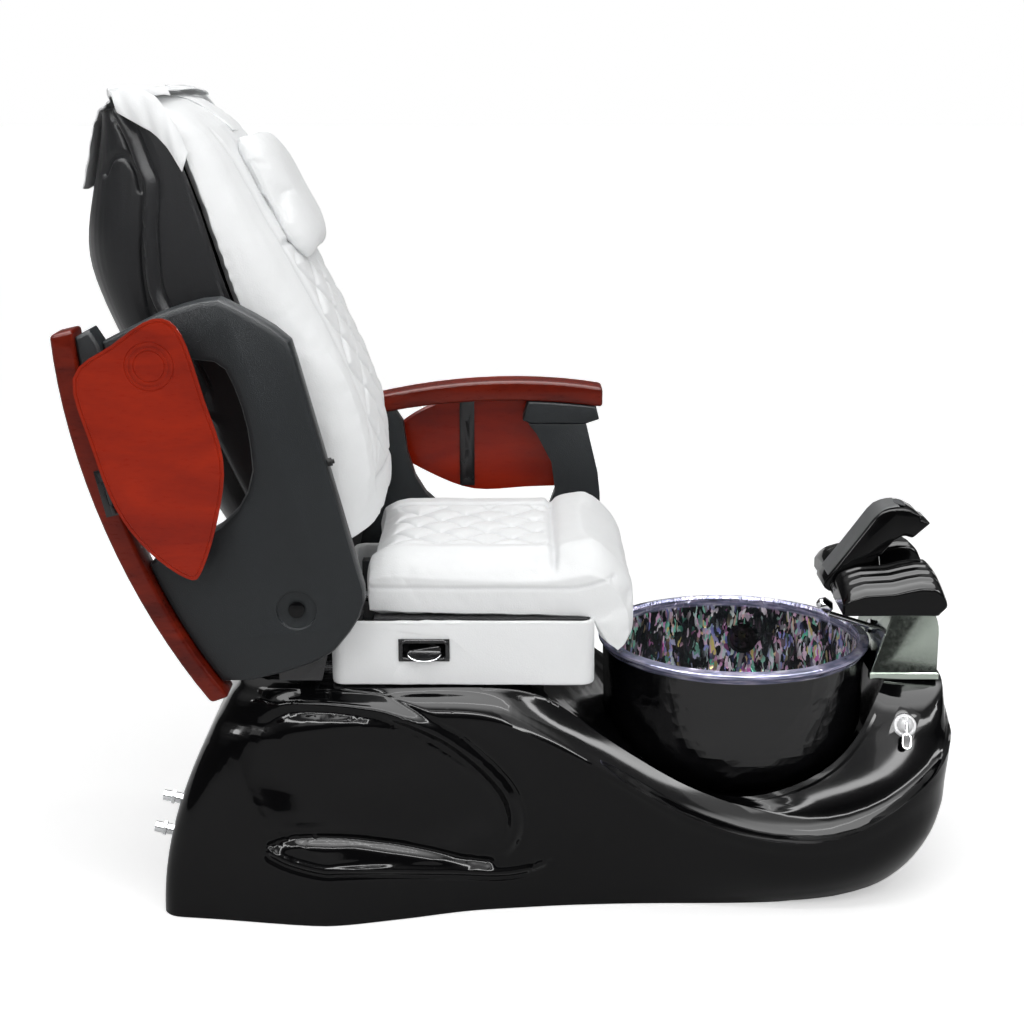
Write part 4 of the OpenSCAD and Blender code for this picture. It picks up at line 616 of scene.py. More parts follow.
def refine(obj, longest, chosen, passes=4):
    """Divides the edges longer than a length, where chosen(middle, normal) is true."""
    for _ in range(passes):
        pick(obj)
        bpy.ops.object.mode_set(mode="EDIT")
        bpy.ops.mesh.select_all(action="DESELECT")
        bpy.context.tool_settings.mesh_select_mode = (False, True, False)
        mesh = bmesh.from_edit_mesh(obj.data)
        count = 0
        for edge in mesh.edges:
            if edge.calc_length() > longest and len(edge.link_faces) == 2:
                normal = edge.link_faces[0].normal + edge.link_faces[1].normal
                if chosen((edge.verts[0].co + edge.verts[1].co) / 2, normal.normalized()):
                    edge.select = True
                    count += 1
        bmesh.update_edit_mesh(obj.data)
        if count:
            bpy.ops.mesh.subdivide(number_cuts=1, quadcorner="INNERVERT")
        bpy.context.tool_settings.mesh_select_mode = (True, False, False)
        bpy.ops.object.mode_set(mode="OBJECT")
        if not count:
            break


def points_of(obj):
    flat = np.empty(len(obj.data.vertices) * 3)
    obj.data.vertices.foreach_get("co", flat)
    return flat.reshape(-1, 3)


def move_points(obj, places):
    obj.data.vertices.foreach_set("co", np.asarray(places, float).ravel())
    obj.data.update()


def normals_of(obj):
    flat = np.empty(len(obj.data.vertices) * 3)
    obj.data.vertex_normals.foreach_get("vector", flat)
    return flat.reshape(-1, 3)


def ease(value):
    value = np.clip(value, 0, 1)
    return value * value * (3 - 2 * value)


def ridge(distance, width):
    return np.exp(-(distance / width) ** 2)


# %% [markdown]
# A mould's details follow drawn lines: a bead, a groove, a weld. A line is given by a few points, run
# through as a smooth curve, and each point of the mesh is pushed out or in by how far it lies from it.

# %% Lines to press into a surface
def curve_through(points, step=8):
    """Points on a smooth curve through a few given ones."""
    p = np.array([points[0], *points, points[-1]], float)
    t = np.linspace(0, 1, step, endpoint=False)[:, None]
    runs = [0.5 * ((2 * p[i]) + (p[i + 1] - p[i - 1]) * t + (2 * p[i - 1] - 5 * p[i] + 4 * p[i + 1] - p[i + 2]) * t ** 2
                   + (3 * p[i] - p[i - 1] - 3 * p[i + 1] + p[i + 2]) * t ** 3) for i in range(1, len(p) - 2)]
    return np.concatenate(runs + [p[-1:]])


def line_finder(*lines):
    """A tree of the lines' points, that gives the distance from a flat point to the nearest one."""
    points = [point for line in lines for point in line]
    tree = kdtree.KDTree(len(points))
    for index, point in enumerate(points):
        tree.insert((point[0], point[1], 0), index)
    tree.balance()
    return lambda flat_x, flat_y: tree.find((flat_x, flat_y, 0))[2]


def off_line(flat, line):
    """Distance of each flat point from a line, and which side it lies on: left of its run is positive."""
    a, b = line[:-1], line[1:]
    d = b - a
    best = np.full(len(flat), 1e9)
    side = np.zeros(len(flat))
    for start, run in zip(a, d):
        rel = flat - start
        share = np.clip(rel @ run / max(run @ run, 1e-12), 0, 1)
        gap = np.linalg.norm(rel - share[:, None] * run, axis=1)
        nearer = gap < best
        side = np.where(nearer, np.sign(run[0] * rel[:, 1] - run[1] * rel[:, 0]), side)
        best = np.minimum(best, gap)
    return best, best * side


# %% Base shell
base_shell = copy_solid("base_shell", "shell_skin", flat=False)
join_triangles(base_shell)
print("creased", crease_sharp(base_shell, 38), "edges")
apply(base_shell, "SUBSURF", levels=1, render_levels=1)

LEAF_BACK = curve_through([(-0.425, 0.144), (-0.471, 0.222), (-0.489, 0.295), (-0.466, 0.362), (-0.437, 0.392),
                           (-0.402, 0.411), (-0.368, 0.416), (-0.312, 0.417), (-0.255, 0.412), (-0.210, 0.403),
                           (-0.154, 0.379), (-0.097, 0.343), (-0.052, 0.304), (-0.009, 0.256), (0.012, 0.216),
                           (0.019, 0.179), (0.015, 0.144), (-0.005, 0.110), (-0.041, 0.097)])
LEAF_FOOT = curve_through([(-0.425, 0.144), (-0.399, 0.155), (-0.370, 0.161), (-0.295, 0.160), (-0.214, 0.144),
                           (-0.145, 0.126), (-0.088, 0.107), (-0.041, 0.097)])
LEAF_LEDGE = curve_through([(-0.420, 0.132), (-0.388, 0.119), (-0.331, 0.108), (-0.296, 0.108), (-0.215, 0.102),
                            (-0.128, 0.090), (-0.030, 0.077), (0.028, 0.082), (0.054, 0.092)])


def near_leaf(place, normal):
    return abs(normal[1]) > 0.2 and normal[1] * place[1] > 0 and -0.54 < place[0] < 0.10 and 0.04 < place[2] < 0.46


to_leaf = line_finder(LEAF_BACK, LEAF_FOOT, LEAF_LEDGE)


def near_lines(place, normal):
    return near_leaf(place, normal) and to_leaf(place[0], place[2]) < 0.034


refine(base_shell, 0.0085, near_leaf)
refine(base_shell, 0.0042, near_lines, passes=2)
at = points_of(base_shell)
out = normals_of(base_shell)
flat = at[:, [0, 2]]
outer, outer_side = off_line(flat, LEAF_BACK)
foot, foot_side = off_line(flat, LEAF_FOOT)
ledge, ledge_side = off_line(flat, LEAF_LEDGE)
tail = ease((np.hypot(at[:, 0] - LEAF_BACK[-1][0], at[:, 2] - LEAF_BACK[-1][1]) - 0.018) / 0.05)
high_back = ease((at[:, 0] + 0.47) / 0.10) * ease((at[:, 2] - 0.25) / 0.08)
crisp = tail * np.maximum(high_back, ease((at[:, 0] + 0.20) / 0.10))
relief = 0.0070 * ridge(outer_side + 0.013, 0.0085) * np.maximum(crisp, 0.15 * tail)
relief += crisp * (-0.0045 * ridge(outer_side + 0.031, 0.007) - 0.0035 * ridge(outer_side - 0.004, 0.005))
relief += -0.0095 * ridge(foot, 0.0085) + 0.0045 * ridge(ledge, 0.007) - 0.003 * ridge(ledge_side + 0.013, 0.006)
wall = (np.abs(out[:, 1]) > 0.15) & (out[:, 1] * at[:, 1] > 0) & (np.abs(at[:, 1]) > 0.2)
relief *= wall * ease((at[:, 0] + 0.54) / 0.03)
at[:, 1] += relief * np.sign(at[:, 1])
move_points(base_shell, at)
smooth(base_shell, 40)
dress(base_shell, FINISH["gloss_black"], "base_shell")
print("shell faces", len(base_shell.data.polygons))

# %% [markdown]
# ## Padding by simulation
# Foam under leather swells between the places where it is held. Drawing that by hand looks stiff, so
# each cushion starts a little small, is remeshed evenly, and is blown up for a few frames as cloth
# with air inside. How far a point may move is capped, so that the cushion keeps its outline.

# %% Inflate a cushion
def inflate(obj, voxel, shrink, cap, pressure=4.0, held=None):
    """Remeshes a closed form, draws it in by shrink, and swells it as cloth by at most cap."""
    pick(obj)
    obj.data.remesh_voxel_size = voxel
    bpy.ops.object.voxel_remesh()
    move_points(obj, points_of(obj) - normals_of(obj) * shrink)
    rest = points_of(obj)
    if held is not None:
        group = obj.vertex_groups.new(name="held")
        group.add([int(i) for i in np.nonzero(held(rest))[0]], 1.0, "REPLACE")
    cloth = obj.modifiers.new("cloth", "CLOTH")
    cloth.settings.quality = 4
    cloth.settings.mass = 0.35
    cloth.settings.tension_stiffness = 12
    cloth.settings.compression_stiffness = 12
    cloth.settings.bending_stiffness = 0.6
    cloth.settings.use_pressure = True
    cloth.settings.uniform_pressure_force = pressure
    cloth.settings.effector_weights.gravity = 0
    if held is not None:
        cloth.settings.vertex_group_mass = "held"
    scene = bpy.context.scene
    for number in range(1, 21):
        scene.frame_set(number)
    shape = obj.evaluated_get(bpy.context.evaluated_depsgraph_get())
    swollen = np.array([v.co[:] for v in shape.data.vertices])
    scene.frame_set(1)
    step = swollen - rest
    size = np.linalg.norm(step, axis=1, keepdims=True)
    rest = rest + step * np.minimum(1.0, cap / np.maximum(size, 1e-9))
    obj.modifiers.remove(cloth)
    obj.vertex_groups.clear()
    move_points(obj, rest)
    pick(obj)
    apply(obj, "SMOOTH", factor=0.5, iterations=3)
    apply(obj, "SUBSURF", levels=1, render_levels=1)
    return obj


def to_diamond_line(across, along, pitch):
    """Distance from the nearest line of a diamond grid."""
    first, second = across / pitch + along / pitch, across / pitch - along / pitch
    lines = [np.abs(value - np.round(value)) for value in (first, second)]
    return np.minimum(*lines) * pitch / math.sqrt(2)


def mark_seam_shade(obj, strength):
    """Stores how close each point is to a seam or crease, as painted shade for the leather to darken it."""
    layer = obj.data.attributes.get("seam") or obj.data.attributes.new("seam", "FLOAT", "POINT")
    layer.data.foreach_set("value", np.clip(strength, 0, 1).astype(np.float32))


def crumple(points, size, amount, seed):
    """Small creases: noise read at each point, the same on each run."""
    shift = Vector((seed * 7.1, seed * 3.3, seed * 1.7))
    return np.array([noise.noise(Vector(p) / size + shift) for p in points]) * amount


# %% [markdown]
# ## Seat cushion
# The seat is a box cushion with a quilted middle between two bolsters, a fat front roll, and a
# leather tail that hangs in front of the seat box. The diamonds are sewn through the foam, so
# the channels are pressed in after the foam has swollen.

# %% Seat cushion
SEAT_PITCH = 0.088
ROLL_SEAM = 0.074
seat = copy_solid("seat_cushion", "seat_pad", flat=False)
inflate(seat, 0.006, 0.004, 0.009)
at = points_of(seat)
up = normals_of(seat)
on_top = ease((up[:, 2] - 0.4) / 0.4)
quilted = on_top * ease((0.146 - np.abs(at[:, 1])) / 0.014)
quilted *= ease((ROLL_SEAM - 0.008 - at[:, 0]) / 0.014) * ease((at[:, 0] + 0.225) / 0.02)
line = to_diamond_line(at[:, 0], at[:, 1], SEAT_PITCH)
channel = quilted * ridge(line, 0.0045)
puff = quilted * (1 - ridge(line, 0.014))
border = ease((at[:, 0] + 0.24) / 0.02) * ease((ROLL_SEAM + 0.004 - at[:, 0]) / 0.01)
long_seam = on_top * border * ridge(np.abs(at[:, 1]) - 0.150, 0.005)
roll_seam = on_top * ease((0.245 - np.abs(at[:, 1])) / 0.03) * ridge(at[:, 0] - ROLL_SEAM, 0.006)
side_seam = ease((np.abs(up[:, 1]) - 0.5) / 0.3) * ridge(at[:, 2] - 0.597 - 0.02 * ease((at[:, 0] - 0.1) / 0.1), 0.0035)
press = -0.0045 * channel + 0.003 * puff - 0.005 * long_seam - 0.007 * roll_seam - 0.0025 * side_seam
press += crumple(at, 0.05, 0.0012, 1) + crumple(at, 0.018, 0.0004, 2)
move_points(seat, at + up * press[:, None])
# Painted shade: the quilting channels and the seams are greyed in the leather's colour.
mark_seam_shade(seat, 0.5 * channel + 0.7 * long_seam + 0.7 * roll_seam + 0.5 * side_seam)
smooth(seat, 180)
dress(seat, FINISH["white_leather"], "seat_cushion")
print("seat", len(seat.data.polygons), "faces")

# %% [markdown]
# ## Back cushion
# The back cover is one fitted piece over foam: quilted down its middle, a bolster on each side, and
# wrapped round to the plastic shell, where it is pulled in under the shell's lip and puckers.

# %% Back cushion
PIVOT = np.array([-0.330, 0.0, 0.600])
TILT = math.radians(20)
FORWARD = np.array([math.cos(TILT), 0.0, math.sin(TILT)])
UPWARD = np.array([-math.sin(TILT), 0.0, math.cos(TILT)])


def on_back(n, y, u):
    """A point of the back: n forward of its plane, y across, u along it from the hinge."""
    return PIVOT + n * FORWARD + y * np.array([0, 1.0, 0]) + u * UPWARD


back_pad = copy_solid("back_cushion", "back_pad", flat=False)
inflate(back_pad, 0.0065, 0.004, 0.010)
at = points_of(back_pad)
out = normals_of(back_pad)
rel = at - PIVOT
along, ahead, across = rel @ UPWARD, rel @ FORWARD, at[:, 1]
facing = out @ FORWARD
in_front = ease((facing - 0.45) / 0.3)
quilted = in_front * ease((0.150 - np.abs(across)) / 0.014) * ease((along - 0.14) / 0.03) * ease((0.56 - along) / 0.03)
line = to_diamond_line(along, across, 0.096)
channel, puff = quilted * ridge(line, 0.005), quilted * (1 - ridge(line, 0.016))
long_seam = in_front * ease((along - 0.10) / 0.03) * ease((0.80 - along) / 0.03) * ridge(np.abs(across) - 0.155, 0.005)
cross_seam = in_front * ease((0.155 - np.abs(across)) / 0.01) * (ridge(along - 0.57, 0.005) + ridge(along - 0.13, 0.005))
rim = ease((0.020 - np.abs(ahead - np.interp(along, [0, 0.25, 0.4, 0.53, 0.69, 0.81, 0.862, 0.885],
                                             [0.026, 0.046, 0.052, 0.044, 0.052, 0.046, 0.020, -0.008]))) / 0.02)
pucker = np.sin(along * 2 * math.pi / 0.034 + 3.4 * np.sin(along * 23)) * (0.0005 + 0.0007 * np.sin(along * 13) ** 2)
pucker *= rim * ease((np.abs(across) - 0.2) / 0.02)
press = -0.004 * channel + 0.0028 * puff - 0.005 * long_seam - 0.005 * cross_seam + pucker
press += crumple(at, 0.06, 0.0016, 3) + crumple(at, 0.02, 0.0005, 4)
move_points(back_pad, at + out * press[:, None])
# Painted shade: the quilting channels and the seams are greyed in the leather's colour.
mark_seam_shade(back_pad, 0.5 * channel + 0.7 * long_seam + 0.7 * cross_seam)
smooth(back_pad, 180)
dress(back_pad, FINISH["white_leather"], "back_cushion")
print("back", len(back_pad.data.polygons), "faces")

# %% [markdown]
# ## Head pillow
# A D-shaped cushion with a sewn seam round its edge, held by a strap over the top of the back. It
# swells more than the seat, because its filling is loose.

# %% Head pillow
pillow = copy_solid("pillow", "head_pillow", flat=False)
inflate(pillow, 0.005, 0.004, 0.012, pressure=5.0)
at = points_of(pillow)
depth = (at - PIVOT) @ FORWARD
at -= np.maximum(depth - 0.112, 0)[:, None] * 0.20 * FORWARD
move_points(pillow, at)
out = normals_of(pillow)
move_points(pillow, at + out * crumple(at, 0.06, 0.0010, 5)[:, None])
# Painted shade: a band is greyed where the pillow's surface turns away from the front, round its edge.
mark_seam_shade(pillow, 0.25 * ridge((out @ FORWARD) + 0.12, 0.05))
smooth(pillow, 180)
dress(pillow, FINISH["white_leather"], "pillow")
print("pillow", len(pillow.data.polygons), "faces")

# %% [markdown]
# ## Cover flap and pillow strap
# The cover goes over the top of the back, where its corners are pinched into two points, and its
# sides turn down over the case as a skirt. A narrower tongue hangs behind. It is leather a few
# millimetres thick, so a grid is bent to its run and given a wall. The strap is a copy of its solid
# with its edges rounded.

# %% Bent leather from a grid
def bent_sheet(name, rows, columns, run, thickness):
    """A grid whose point at shares a and b goes to run(a, b), with a wall and rounded edges."""
    bpy.ops.object.select_all(action="DESELECT")
    bpy.ops.mesh.primitive_grid_add(x_subdivisions=columns, y_subdivisions=rows, size=1)
    obj = bpy.context.object
    obj.name = name
    move_points(obj, [run(p[1] + 0.5, p[0] * 2) for p in points_of(obj)])
    pick(obj)
    bpy.ops.object.mode_set(mode="EDIT")
    bpy.ops.mesh.select_all(action="SELECT")
    bpy.ops.mesh.normals_make_consistent(inside=False)
    bpy.ops.object.mode_set(mode="OBJECT")
    area = sum(face.area for face in obj.data.polygons)
    apply(obj, "SOLIDIFY", thickness=thickness, offset=0.0)
    apply(obj, "SUBSURF", levels=1, render_levels=1)
    return smooth(obj, 60), area


# Each row: forward of the back's plane, along it, half width, skirt turned down, lift of the corner
FLAP_ROWS = np.array([
    [0.062, 0.872, 0.190, 0.008, 0.000], [0.044, 0.881, 0.208, 0.010, 0.000], [0.026, 0.888, 0.224, 0.012, 0.003],
    [0.006, 0.892, 0.236, 0.013, 0.008], [-0.010, 0.892, 0.243, 0.014, 0.013], [-0.017, 0.8915, 0.246, 0.014, 0.0155],
    [-0.026, 0.890, 0.222, 0.008, 0.012], [-0.040, 0.888, 0.160, 0.004, 0.006], [-0.056, 0.8875, 0.134, 0.002, 0.002],
    [-0.074, 0.885, 0.120, 0.0, 0.0], [-0.091, 0.870, 0.112, 0.0, 0.0], [-0.107, 0.848, 0.110, 0.0, 0.0],
    [-0.124, 0.820, 0.108, 0.0, 0.0], [-0.141, 0.795, 0.106, 0.0, 0.0], [-0.155, 0.772, 0.106, 0.0, 0.0]])
FLAP_STEPS = np.arange(len(FLAP_ROWS))


def flap_run(a, b):
    """Point of the cover's flap: a runs over the top and down behind, b from side to side."""
    at = a * (len(FLAP_ROWS) - 1)
    n, u, half, skirt, lift = (float(np.interp(at, FLAP_STEPS, FLAP_ROWS[:, k])) for k in range(5))
    inner = min(abs(b) / 0.80, 1.0)
    turned = max(0.0, (abs(b) - 0.80) / 0.20)
    across = half * inner + 0.004 * math.sin(turned * math.pi / 2) - 0.010 * turned * skirt / 0.03
    height = u + lift * inner ** 5 - skirt * turned + 0.0016 * math.sin(at * 5.1 + b * 7) * inner
    if b > 0:
        height -= 0.008 * inner ** 3 * min(1.0, max(0.0, (n + 0.045) / 0.03))
    return on_back(n - 0.25 * lift * inner ** 5, math.copysign(across, b), height)


flap, flap_area = bent_sheet("cover_flap", 42, 50, flap_run, 0.0026)
at = points_of(flap)
move_points(flap, at + normals_of(flap) * crumple(at, 0.04, 0.0012, 6)[:, None])
mark_seam_shade(flap, np.zeros(len(at)))
dress(flap, FINISH["white_leather"], "top_flap")
print("flap", round(flap_area, 3), "square metres")

# %% Side wraps
# Each row: lower edge and upper edge, as forward and along, then how far out from the middle
WRAP_ROWS = np.array([
    [-0.0205, 0.8668, -0.0178, 0.9055, 0.2470], [-0.0080, 0.8505, -0.0020, 0.8990, 0.2475],
    [0.0060, 0.8340, 0.0160, 0.8930, 0.2480], [0.0180, 0.8205, 0.0340, 0.8840, 0.2485],
    [0.0270, 0.8060, 0.0480, 0.8680, 0.2495], [0.0345, 0.7870, 0.0570, 0.8400, 0.2510],
    [0.0400, 0.7660, 0.0620, 0.8050, 0.2530], [0.0435, 0.7400, 0.0640, 0.7650, 0.2545]])
WRAP_STEPS = np.arange(len(WRAP_ROWS))


def wrap_run(side):
    def run(a, b):
        at, b = a * (len(WRAP_ROWS) - 1), (b + 1) / 2
        low_n, low_u, high_n, high_u, half = (float(np.interp(at, WRAP_STEPS, WRAP_ROWS[:, k])) for k in range(5))
        bulge = 0.004 * math.sin(b * math.pi) - 0.006 * b ** 3 + 0.0012 * math.sin(a * 23 + b * 3)
        return on_back(low_n + (high_n - low_n) * b, side * (half + bulge), low_u + (high_u - low_u) * b)
    return run


for side, name in ((-1, "right_wrap"), (1, "left_wrap")):
    wrap, wrap_area = bent_sheet(name, 34, 14, wrap_run(side), 0.0026)
    at = points_of(wrap)
    move_points(wrap, at + normals_of(wrap) * crumple(at, 0.03, 0.001, 8)[:, None])
    mark_seam_shade(wrap, np.zeros(len(at)))
    dress(wrap, FINISH["white_leather"], body="back")
    print(name, round(wrap_area, 4), "square metres")

# %% Strap
strap = copy_solid("pillow_strap", "pillow_band", flat=False)
apply(strap, "BEVEL", width=0.0012, segments=2, limit_method="ANGLE", angle_limit=math.radians(50))
smooth(strap, 60)
mark_seam_shade(strap, np.zeros(len(strap.data.vertices)))
dress(strap, FINISH["white_leather"], "pillow_strap")

# %% [markdown]
# ## Back case
# The moulded case behind the back has a thick weld that runs down each side in an S, a bulge behind
# it, and a double rim where the leather cover wraps over. These are lines pressed into a smooth
# form, so the solid's copy is subdivided and the lines are pushed in or out along its sides.

# %% Back case
back_case = copy_solid("back_shell", "back_case", flat=False)
join_triangles(back_case, face=30)
crease_sharp(back_case, 50)
apply(back_case, "SUBSURF", levels=1, render_levels=1)

WELD = curve_through([(0.8682, -0.0288), (0.8351, -0.0227), (0.8016, -0.0211), (0.7737, -0.0206), (0.7455, -0.0192),
                      (0.7164, -0.0298), (0.6883, -0.0432), (0.6413, -0.0603), (0.5789, -0.0788), (0.5228, -0.0768),
                      (0.44, -0.070), (0.34, -0.066)])
CREASE = curve_through([(0.6788, -0.0552), (0.6468, -0.0753), (0.5841, -0.096), (0.5205, -0.1085), (0.44, -0.112)])
LOBE_TOP = curve_through([(0.7836, -0.0947), (0.8008, -0.0746), (0.8029, -0.0568), (0.792, -0.0416), (0.7688, -0.0363),
                          (0.7395, -0.0405)])
RIM = curve_through([(0.8698, -0.0186), (0.8603, -0.0072), (0.8208, 0.0167), (0.7928, 0.0321), (0.7597, 0.0413),
                     (0.7196, 0.0374), (0.6719, 0.0339), (0.5968, 0.0299), (0.5178, 0.0246), (0.40, 0.030)])


# The rim line runs down the back, so the case lies on this side of it
RIM_SIDE = -1


def near_weld(place, normal):
    along = (Vector(place) - Vector(PIVOT)) @ Vector(UPWARD)
    return abs(place[1]) > 0.10 and normal[1] * place[1] > 0 and along > 0.38 and normal @ Vector(FORWARD) < 0.6


to_press = line_finder(WELD, CREASE, LOBE_TOP, RIM)


def near_rim(place, normal):
    if not near_weld(place, normal):
        return False
    rel = np.array(place) - PIVOT
    return to_press(rel @ UPWARD, rel @ FORWARD) < 0.024


refine(back_case, 0.009, near_weld, passes=5)
refine(back_case, 0.0045, near_rim, passes=2)
at = points_of(back_case)
out = normals_of(back_case)
rel = at - PIVOT
flat = np.stack([rel @ UPWARD, rel @ FORWARD], axis=1)
outside = ease((out[:, 1] * np.sign(at[:, 1]) - 0.05) / 0.3) * ease((np.abs(at[:, 1]) - 0.10) / 0.03)
weld, _ = off_line(flat, WELD)
crease, _ = off_line(flat, CREASE)
lobe, _ = off_line(flat, LOBE_TOP)
_, rim_side = off_line(flat, RIM)
press = 0.0085 * ridge(weld, 0.0070) - 0.0055 * ridge(weld - 0.0135, 0.0045)
press += -0.0065 * ridge(crease, 0.0045) - 0.008 * ridge(lobe, 0.0050)
press += -0.0032 * ridge(rim_side - RIM_SIDE * 0.007, 0.0026) - 0.0030 * ridge(rim_side - RIM_SIDE * 0.015, 0.0026)
move_points(back_case, at + out * (press * outside)[:, None])
smooth(back_case, 50)
dress(back_case, FINISH["back_plastic"], "back_shell")
print("case faces", len(back_case.data.polygons))

# %% [markdown]
# ## Arms and trays
# Each arm is a moulded panel with a broad chamfer round its outer face, a lacquered wood rail along
# its top, and a tray on a hinge. Nearly every edge of a moulded or turned part is rounded, and that
# thin bright line along the edges is most of what makes it look real.

# %% Arm panels, rails and blocks
def outer_edges(obj, level, reach, clear_of, radius):
    """Selects the outline edges of the face at abs(y) = level, away from a round boss."""
    bpy.ops.object.mode_set(mode="EDIT")
    bpy.context.tool_settings.mesh_select_mode = (False, True, False)
    bpy.ops.mesh.select_all(action="DESELECT")
    mesh = bmesh.from_edit_mesh(obj.data)
    count = 0
    for edge in mesh.edges:
        at_level = all(abs(abs(v.co.y) - level) < reach for v in edge.verts)
        away = all(math.hypot(v.co.x - clear_of[0], v.co.z - clear_of[1]) > radius for v in edge.verts)
        if at_level and away and edge.calc_face_angle(0) > 0.6:
            edge.select = True
            count += 1
    bmesh.update_edit_mesh(obj.data)
    return count


ARM_PIVOT = (-0.365, 0.585)
for side in ("right", "left"):
    panel = copy_solid(f"{side}_arm_panel", f"{side}_panel")
    count = outer_edges(panel, 0.340, 0.0004, ARM_PIVOT, 0.045)
    bpy.ops.mesh.bevel(offset=0.013, segments=2, profile=0.55, clamp_overlap=True)
    bpy.ops.object.mode_set(mode="OBJECT")
    apply(panel, "BEVEL", width=0.0022, segments=3, limit_method="ANGLE", angle_limit=math.radians(28))
    smooth(panel, 32)
    dress(panel, FINISH["dark_plastic"], f"{side}_arm_panel")
    rail = soft_edges(f"{side}_arm_rail", f"{side}_rail", 0.007, FINISH["maroon_lacquer"], segments=4, angle=40, keep=30)
    soft_edges(f"{side}_arm_block", f"{side}_block", 0.0015, FINISH["dark_plastic"], segments=2)
    print(side, "panel", count, "outline edges,", len(rail.data.polygons), "rail faces")

# %% [markdown]
# The trays are thin boards under thick lacquer: a rounded edge, a fine line cut a finger's breadth
# inside it, and a ring for a cup. The line is an inset of the outer face, pressed in; the cup ring
# is not made here.

# %% Trays
for side in ("right", "left"):
    tray = copy_solid(f"{side}_tray", f"{side}_board")
    level = abs(box(f"{side}_tray")[0 if side == "right" else 1][1])
    bpy.ops.object.mode_set(mode="EDIT")
    bpy.context.tool_settings.mesh_select_mode = (False, False, True)
    bpy.ops.mesh.select_all(action="DESELECT")
    mesh = bmesh.from_edit_mesh(tray.data)
    for face in mesh.faces:
        face.select = all(abs(abs(v.co.y) - level) < 0.0002 for v in face.verts)
    bmesh.update_edit_mesh(tray.data)
    bpy.ops.mesh.inset(thickness=0.0045, use_boundary=True)
    bpy.ops.mesh.inset(thickness=0.0006, depth=-0.0009, use_boundary=True)
    bpy.ops.mesh.inset(thickness=0.0012, use_boundary=True)
    bpy.ops.mesh.inset(thickness=0.0006, depth=0.0009, use_boundary=True)
    bpy.context.tool_settings.mesh_select_mode = (True, False, False)
    bpy.ops.object.mode_set(mode="OBJECT")
    smooth(tray, 24)
    dress(tray, FINISH["red_lacquer"], f"{side}_tray")
    print(side, "tray", len(tray.data.polygons), "faces")

# %% Hinges, straps and small moulded parts
for node, width, finish in (("right_tray_hinge", 0.0006, "black_plastic"), ("left_tray_hinge", 0.0006, "black_plastic"),
                            ("right_tray_strip", 0.001, "black_plastic"), ("left_tray_strip", 0.001, "black_plastic"),
                            ("lever_bezel", 0.0012, "black_plastic"), ("arm_pivot_bolts", 0.001, "gloss_black"),
                            ("levelling_feet", 0.0015, "rubber"), ("chassis_frame", 0.003, "painted_steel"),
                            ("back_frame", 0.002, "painted_steel"), ("side_plates", 0.0015, "painted_steel"),
                            ("seat_carriage", 0.0015, "painted_steel"), ("control_box", 0.003, "painted_steel"),
                            ("seat_board", 0.002, "black_cloth"), ("spray_head", 0.0008, "chrome")):
    soft_edges(node, node + "_finished", width, FINISH[finish], segments=2)

# %% [markdown]
# ## Footrest
# Two gloss pads with soft corners, crowned towards the channel and ribbed along their length so
# that a wet foot does not slip. Each is a cube cut into a fine mesh, rounded to a box with soft
# corners, and then its top is drawn to the pad's crown. The support between them is a bent beam.

# %% Rounded block
def rounded_block(name, low, high, radius, cuts=22):
    """A cube cut finely and drawn to a box with round edges."""
    low, high = np.array(low, float), np.array(high, float)
    bpy.ops.object.select_all(action="DESELECT")
    bpy.ops.mesh.primitive_cube_add(size=2)
    obj = bpy.context.object
    obj.name = name
    bpy.ops.object.mode_set(mode="EDIT")
    bpy.ops.mesh.select_all(action="SELECT")
    bpy.ops.mesh.subdivide(number_cuts=cuts)
    bpy.ops.object.mode_set(mode="OBJECT")
    half = (high - low) / 2
    unit = points_of(obj)
    spread = np.sign(unit) * (1 - (1 - np.abs(unit)) ** 1.5) * half
    core = np.clip(spread, -half + radius, half - radius)
    step = spread - core
    size = np.linalg.norm(step, axis=1, keepdims=True)
    move_points(obj, (low + high) / 2 + core + step / np.maximum(size, 1e-9) * radius)
    return smooth(obj, 60)


# %% Foot pads
FOOT_FLOOR = 0.520


def pad_top(x, across):
    """Height of a pad's top at x, from the channel (0) to its outer edge (1)."""
    inner = np.interp(x, [0.594, 0.606, 0.634, 0.684, 0.712, 0.734, 0.757, 0.770, 0.780, 0.784],
                      [0.560, 0.574, 0.583, 0.586, 0.593, 0.597, 0.596, 0.586, 0.566, 0.550])
    return inner - 0.021 * np.clip(across, 0, 1) ** 2.6


for side, name in ((-1, "right_foot_pad"), (1, "left_foot_pad")):
    low_y, high_y = (-0.170, -0.0505) if side < 0 else (0.0505, 0.170)
    pad = rounded_block(name, (0.594, low_y, FOOT_FLOOR), (0.784, high_y, 0.600), 0.011, cuts=44)
    at = points_of(pad)
    share = (at[:, 2] - FOOT_FLOOR) / 0.080
    across = (np.abs(at[:, 1]) - 0.0505) / 0.1195
    high = pad_top(at[:, 0], across)
    ribs = np.cos((np.abs(at[:, 1]) - 0.0665) / 0.026 * 2 * math.pi)
    ribbed = ease((share - 0.93) / 0.05) * ease((0.94 - across) / 0.1)
    ribbed *= ease((at[:, 0] - 0.604) / 0.012) * ease((0.770 - at[:, 0]) / 0.015)
    at[:, 2] = FOOT_FLOOR + share * (high - FOOT_FLOOR) + 0.0026 * ribbed * ease(ribs / 0.8 + 0.2)
    under = ease((FOOT_FLOOR + 0.030 - at[:, 2]) / 0.030)
    at[:, 0] -= 0.016 * under ** 2 * ease((at[:, 0] - 0.70) / 0.084)
    move_points(pad, at)
    dress(pad, FINISH["gloss_black"], *(["footrest_platform"] if side < 0 else []), body="base")
    print(name, len(pad.data.polygons), "faces")
foot_bed = rounded_block("foot_bed", (0.598, -0.150, 0.5203), (0.752, 0.150, 0.5262), 0.002, cuts=8)
